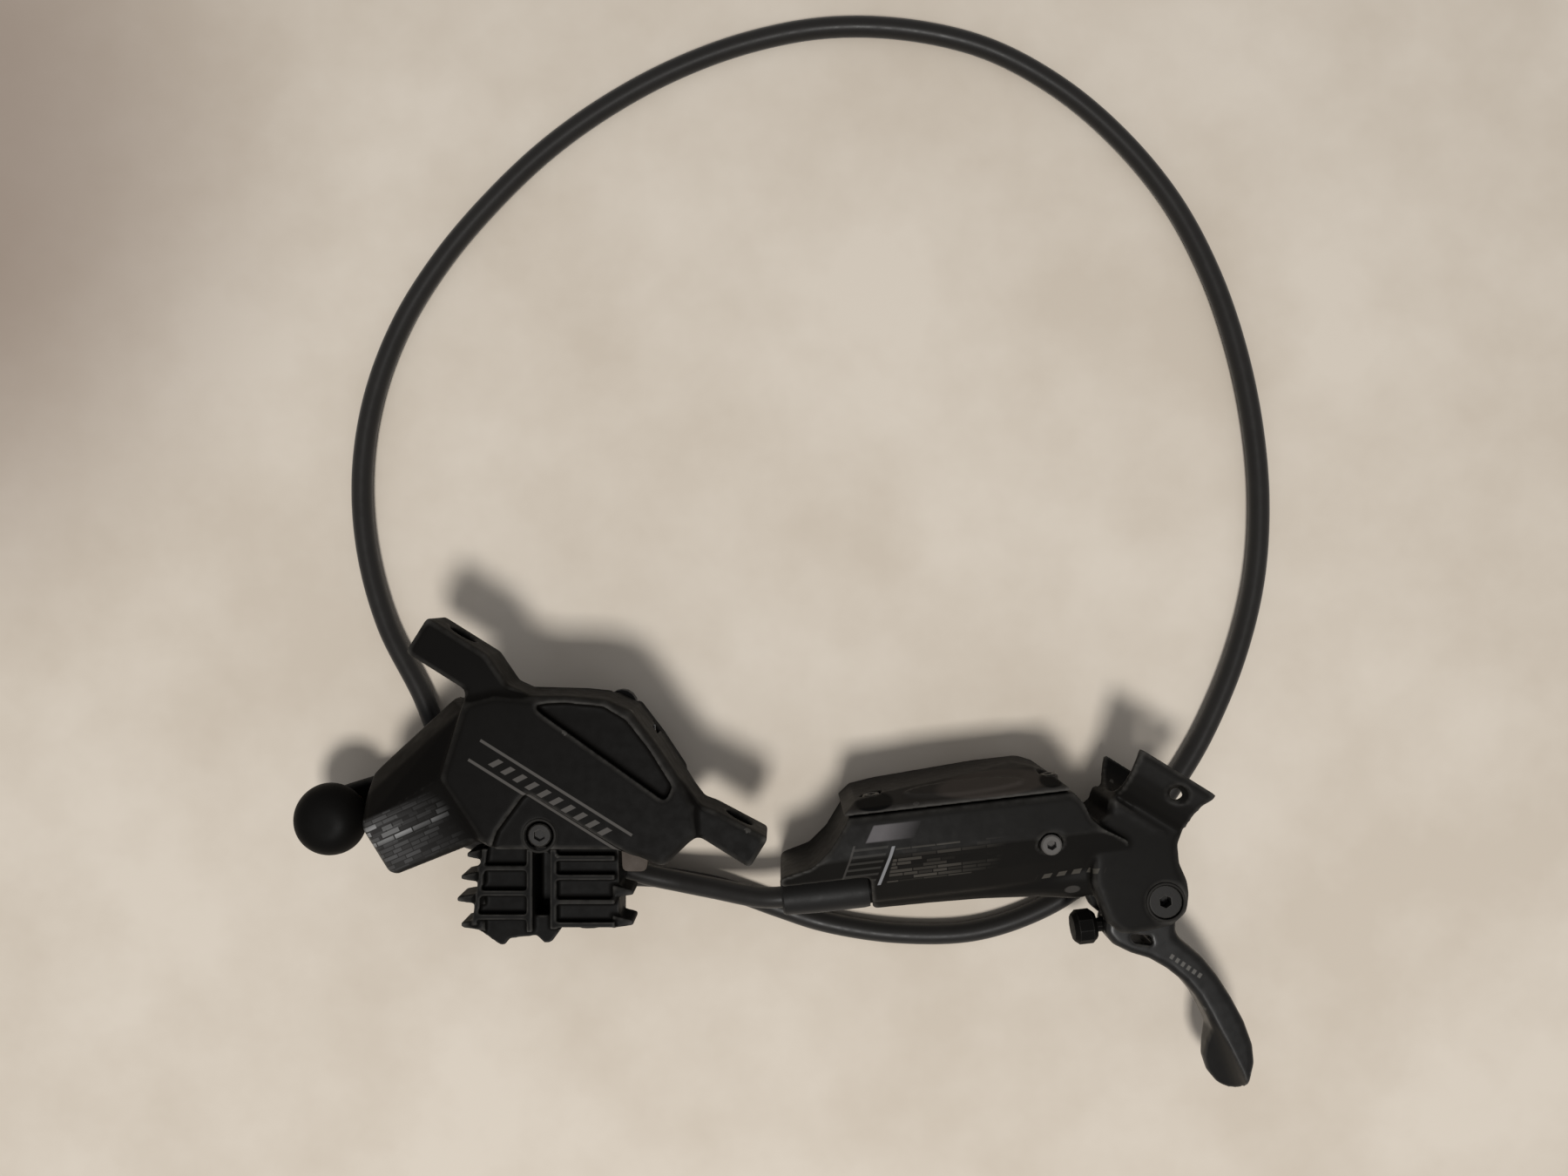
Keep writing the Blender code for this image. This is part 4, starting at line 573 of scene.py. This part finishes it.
# The return spring in the bore, in millimetres of the lever's frame: a helix round the bore's axis, with flat end
# turns. Its wire's section is spanned by the outward direction and its cross product with the helix's tangent.
returnSpring = dict(low=-43.32, high=-34.5, axisY=8.3, axisZ=15.5, radius=3.3, wire=0.35, turns=5.5, flatEnd=0.08,
                    stop=-44.0, travel=3.3, around=10, along=200)


def coilSpring(look):
    t = np.linspace(0, 1, look["along"])
    turn = 2 * math.pi * look["turns"] * t
    climb = (look["high"] - look["low"]) * np.clip((t - look["flatEnd"]) / (1 - 2 * look["flatEnd"]), 0, 1)
    radius, axisY, axisZ = look["radius"], look["axisY"], look["axisZ"]
    centre = np.stack([look["low"] + climb, axisY + radius * np.cos(turn), axisZ + radius * np.sin(turn)], -1)
    out = np.stack([np.zeros_like(t), np.cos(turn), np.sin(turn)], -1)
    run = np.stack([np.gradient(climb, turn), -radius * np.sin(turn), radius * np.cos(turn)], -1)
    side = np.cross(run / np.linalg.norm(run, axis=1, keepdims=True), out)
    curl = np.linspace(0, 2 * math.pi, look["around"], endpoint=False)[None, :, None]
    section = np.cos(curl) * out[:, None] + np.sin(curl) * side[:, None]
    tube = (centre[:, None] + look["wire"] * section).reshape(-1, 3)
    points = byLever(np.vstack([tube, centre[:1], centre[-1:]]))
    made = patchMesh("returnSpring", points, tubeFaces(look["along"], look["around"]), "brightSteel", "base")
    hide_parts("return_spring")
    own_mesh(made)


coilSpring(returnSpring)
print("return spring wound:", returnSpring["turns"], "turns")

hoseFromLever = byLever([(-55, 8.3, 15.5), (-66, 8.3, 15.5), (-86.8, 8.3, 15.5), (-91.8, 8.6, 14.6)])
hoseOnTable = np.array([
    (42, -30, 11.2), (33.5, -28.9, 9), (24.5, -27.2, 8.1), (17, -25, 6.9), (9, -22.6, 4.2), (0, -19.6, 2.5),
    (-9, -16, 2.5), (-18, -9.5, 2.5), (-24.5, 1, 2.5), (-30.5, 15.7, 2.5), (-39.1, 32.7, 2.5),
    (-44.2, 51.5, 2.5), (-45.3, 70.7, 2.5), (-42.3, 89.6, 2.5), (-35.4, 107.5, 2.5), (-25.3, 123.5, 2.5),
    (-13.2, 137.7, 2.5), (0.2, 150.4, 2.5), (15.2, 161.2, 2.5), (31.8, 170.2, 2.5), (49.9, 176.9, 2.5),
    (69.3, 180.6, 2.5), (89.6, 180.1, 2.5), (109.4, 175.4, 2.5), (127.3, 165.7, 2.5), (142.6, 152.6, 2.5),
    (155.3, 137, 2.5), (164.6, 119.4, 2.5), (170.9, 101.1, 2.5), (174.9, 82.1, 2.5), (176.5, 62.9, 2.5),
    (175.2, 43.5, 2.5), (170.4, 24.3, 2.5), (162.7, 6, 2.5), (156, -5.4, 2.5), (147.4, -17.3, 2.5),
    (136.6, -28, 2.5), (123.7, -36.7, 2.5), (106.4, -42.7, 2.5), (87, -43.3, 2.5), (68.9, -40.5, 2.5),
    (57.7, -36.9, 2.5), (46, -32.8, 2.5), (34, -30.2, 2.5), (24.5, -29.3, 2.5), (17, -29.3, 2.5),
    (9, -28.8, 2.5), (1, -26.3, 3.8), (-7, -22.6, 7.8), (-14.5, -18.2, 12.6)]) / 1000
barb = np.array([math.cos(math.radians(brakeHose["banjoTurn"])), math.sin(math.radians(brakeHose["banjoTurn"]))])
hoseToBanjo = np.array([[*(np.array(brakeHose["banjoAt"]) + barb * reach), brakeHose["barbHeight"]]
                        for reach in brakeHose["barbReach"]]) / 1000
hoseLine, hoseLength = easedLine(np.vstack([hoseFromLever, hoseOnTable, hoseToBanjo]), brakeHose["step"],
                                 brakeHose["perSpan"])
hoseCurve = bpy.data.curves.new("brakeHose", "CURVE")
hoseCurve.dimensions = "3D"
hoseCurve.bevel_depth = brakeHose["diameter"] / 2
hoseCurve.bevel_resolution = brakeHose["roundness"]
hoseCurve.use_fill_caps = True
hoseSpline = hoseCurve.splines.new("POLY")
hoseSpline.points.add(len(hoseLine) - 1)
hoseSpline.points.foreach_set("co", np.hstack([hoseLine, np.ones((len(hoseLine), 1))]).ravel())
hoseSpline.use_smooth = True
hose = bpy.data.objects.new("brakeHose", hoseCurve)
bpy.context.scene.collection.objects.link(hose)
hoseCurve.materials.append(grades["hoseRubber"])
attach(hose, "base")
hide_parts("brake_hose")
print("hose laid:", round(hoseLength * 1000), "mm")


# The table: one flat sheet under everything, with faint clouds and a painted soft brown shadow on its far left.
# The painted shadow's share eases from its set share to 0 with the distance from its middle.
def layTable(look):
    half, height = look["size"], look["height"]
    corners = [(-half, -half, height), (half, -half, height), (half, half, height), (-half, half, height)]
    top = patchMesh("tableTop", corners, [(0, 1, 2, 3)], None, None, smooth=False)
    made = bpy.data.materials.new("tableBoard")
    made.use_nodes = True
    tree = made.node_tree
    link = tree.links.new
    shader = tree.nodes["Principled BSDF"]
    shader.inputs["Roughness"].default_value = look["rough"]
    shader.inputs["Specular IOR Level"].default_value = look["specular"]
    where = wired(tree, "ShaderNodeTexCoord")
    cloud = wired(tree, "ShaderNodeTexNoise", Scale=look["clouds"], Detail=5.0, Roughness=0.6)
    link(where.outputs["Object"], cloud.inputs["Vector"])
    faint, full = look["blotches"]
    blotch = wired(tree, "ShaderNodeMapRange", From_Min=faint, From_Max=full)
    link(cloud.outputs["Fac"], blotch.inputs["Value"])
    away = wired(tree, "ShaderNodeVectorMath", operation="DISTANCE")
    link(where.outputs["Object"], away.inputs[0])
    away.inputs[1].default_value = look["paintedShadowAt"]
    share = wired(tree, "ShaderNodeMapRange", interpolation_type="SMOOTHSTEP", From_Min=look["paintedShadowGone"],
                  From_Max=look["paintedShadowFull"], To_Max=look["paintedShadowShare"])
    link(away.outputs["Value"], share.inputs["Value"])
    tone = mixed(tree, blotch.outputs["Result"], look["colour"], look["shade"])
    # Painted shadow: the table turns brown towards its far left.
    link(mixed(tree, share.outputs["Result"], tone, look["paintedShadow"]), shader.inputs["Base Color"])
    top.data.materials.append(made)


# A square soft lamp, turned to face the middle of the brake.
def hangLamp(name, lamp):
    light = bpy.data.lights.new(name, "AREA")
    light.shape = "SQUARE"
    light.size = lamp["size"]
    light.energy = lamp["power"]
    light.color = lamp["colour"]
    made = bpy.data.objects.new(name, light)
    bpy.context.scene.collection.objects.link(made)
    made.location = lamp["place"]
    way = np.array(lamp["aim"]) - np.array(lamp["place"])
    flat = math.hypot(way[0], way[1])
    made.rotation_euler = (math.atan2(flat, -way[2]), 0, math.atan2(way[1], way[0]) - math.pi / 2)


# An even light all round, in front of which the camera sees a pale wall beyond the table.
def lightRoom(look):
    room = bpy.data.worlds.new("roomLight")
    room.use_nodes = True
    tree = room.node_tree
    sky = tree.nodes["Background"]
    sky.inputs["Color"].default_value = (*look["colour"], 1)
    sky.inputs["Strength"].default_value = look["strength"]
    wall = wired(tree, "ShaderNodeBackground", Color=(*look["beyond"], 1), Strength=1.0)
    seen = wired(tree, "ShaderNodeMixShader")
    tree.links.new(wired(tree, "ShaderNodeLightPath").outputs["Is Camera Ray"], seen.inputs["Fac"])
    tree.links.new(sky.outputs["Background"], seen.inputs[1])
    tree.links.new(wall.outputs["Background"], seen.inputs[2])
    tree.links.new(seen.outputs["Shader"], tree.nodes["World Output"].inputs["Surface"])
    bpy.context.scene.world = room


def standCamera(look):
    lens = bpy.data.cameras.new("standCamera")
    lens.sensor_width = look["sensor"]
    lens.lens = look["lens"]
    lens.clip_start = look["nearest"]
    made = bpy.data.objects.new("standCamera", lens)
    made.location = look["place"]
    bpy.context.scene.collection.objects.link(made)
    bpy.context.scene.camera = made


layTable(tableTop)
hangLamp("lampBig", lampBig)
lightRoom(roomLight)
standCamera(cameraStand)
bpy.context.scene.view_settings.view_transform = "Standard"
print("camera, lamp and table set")
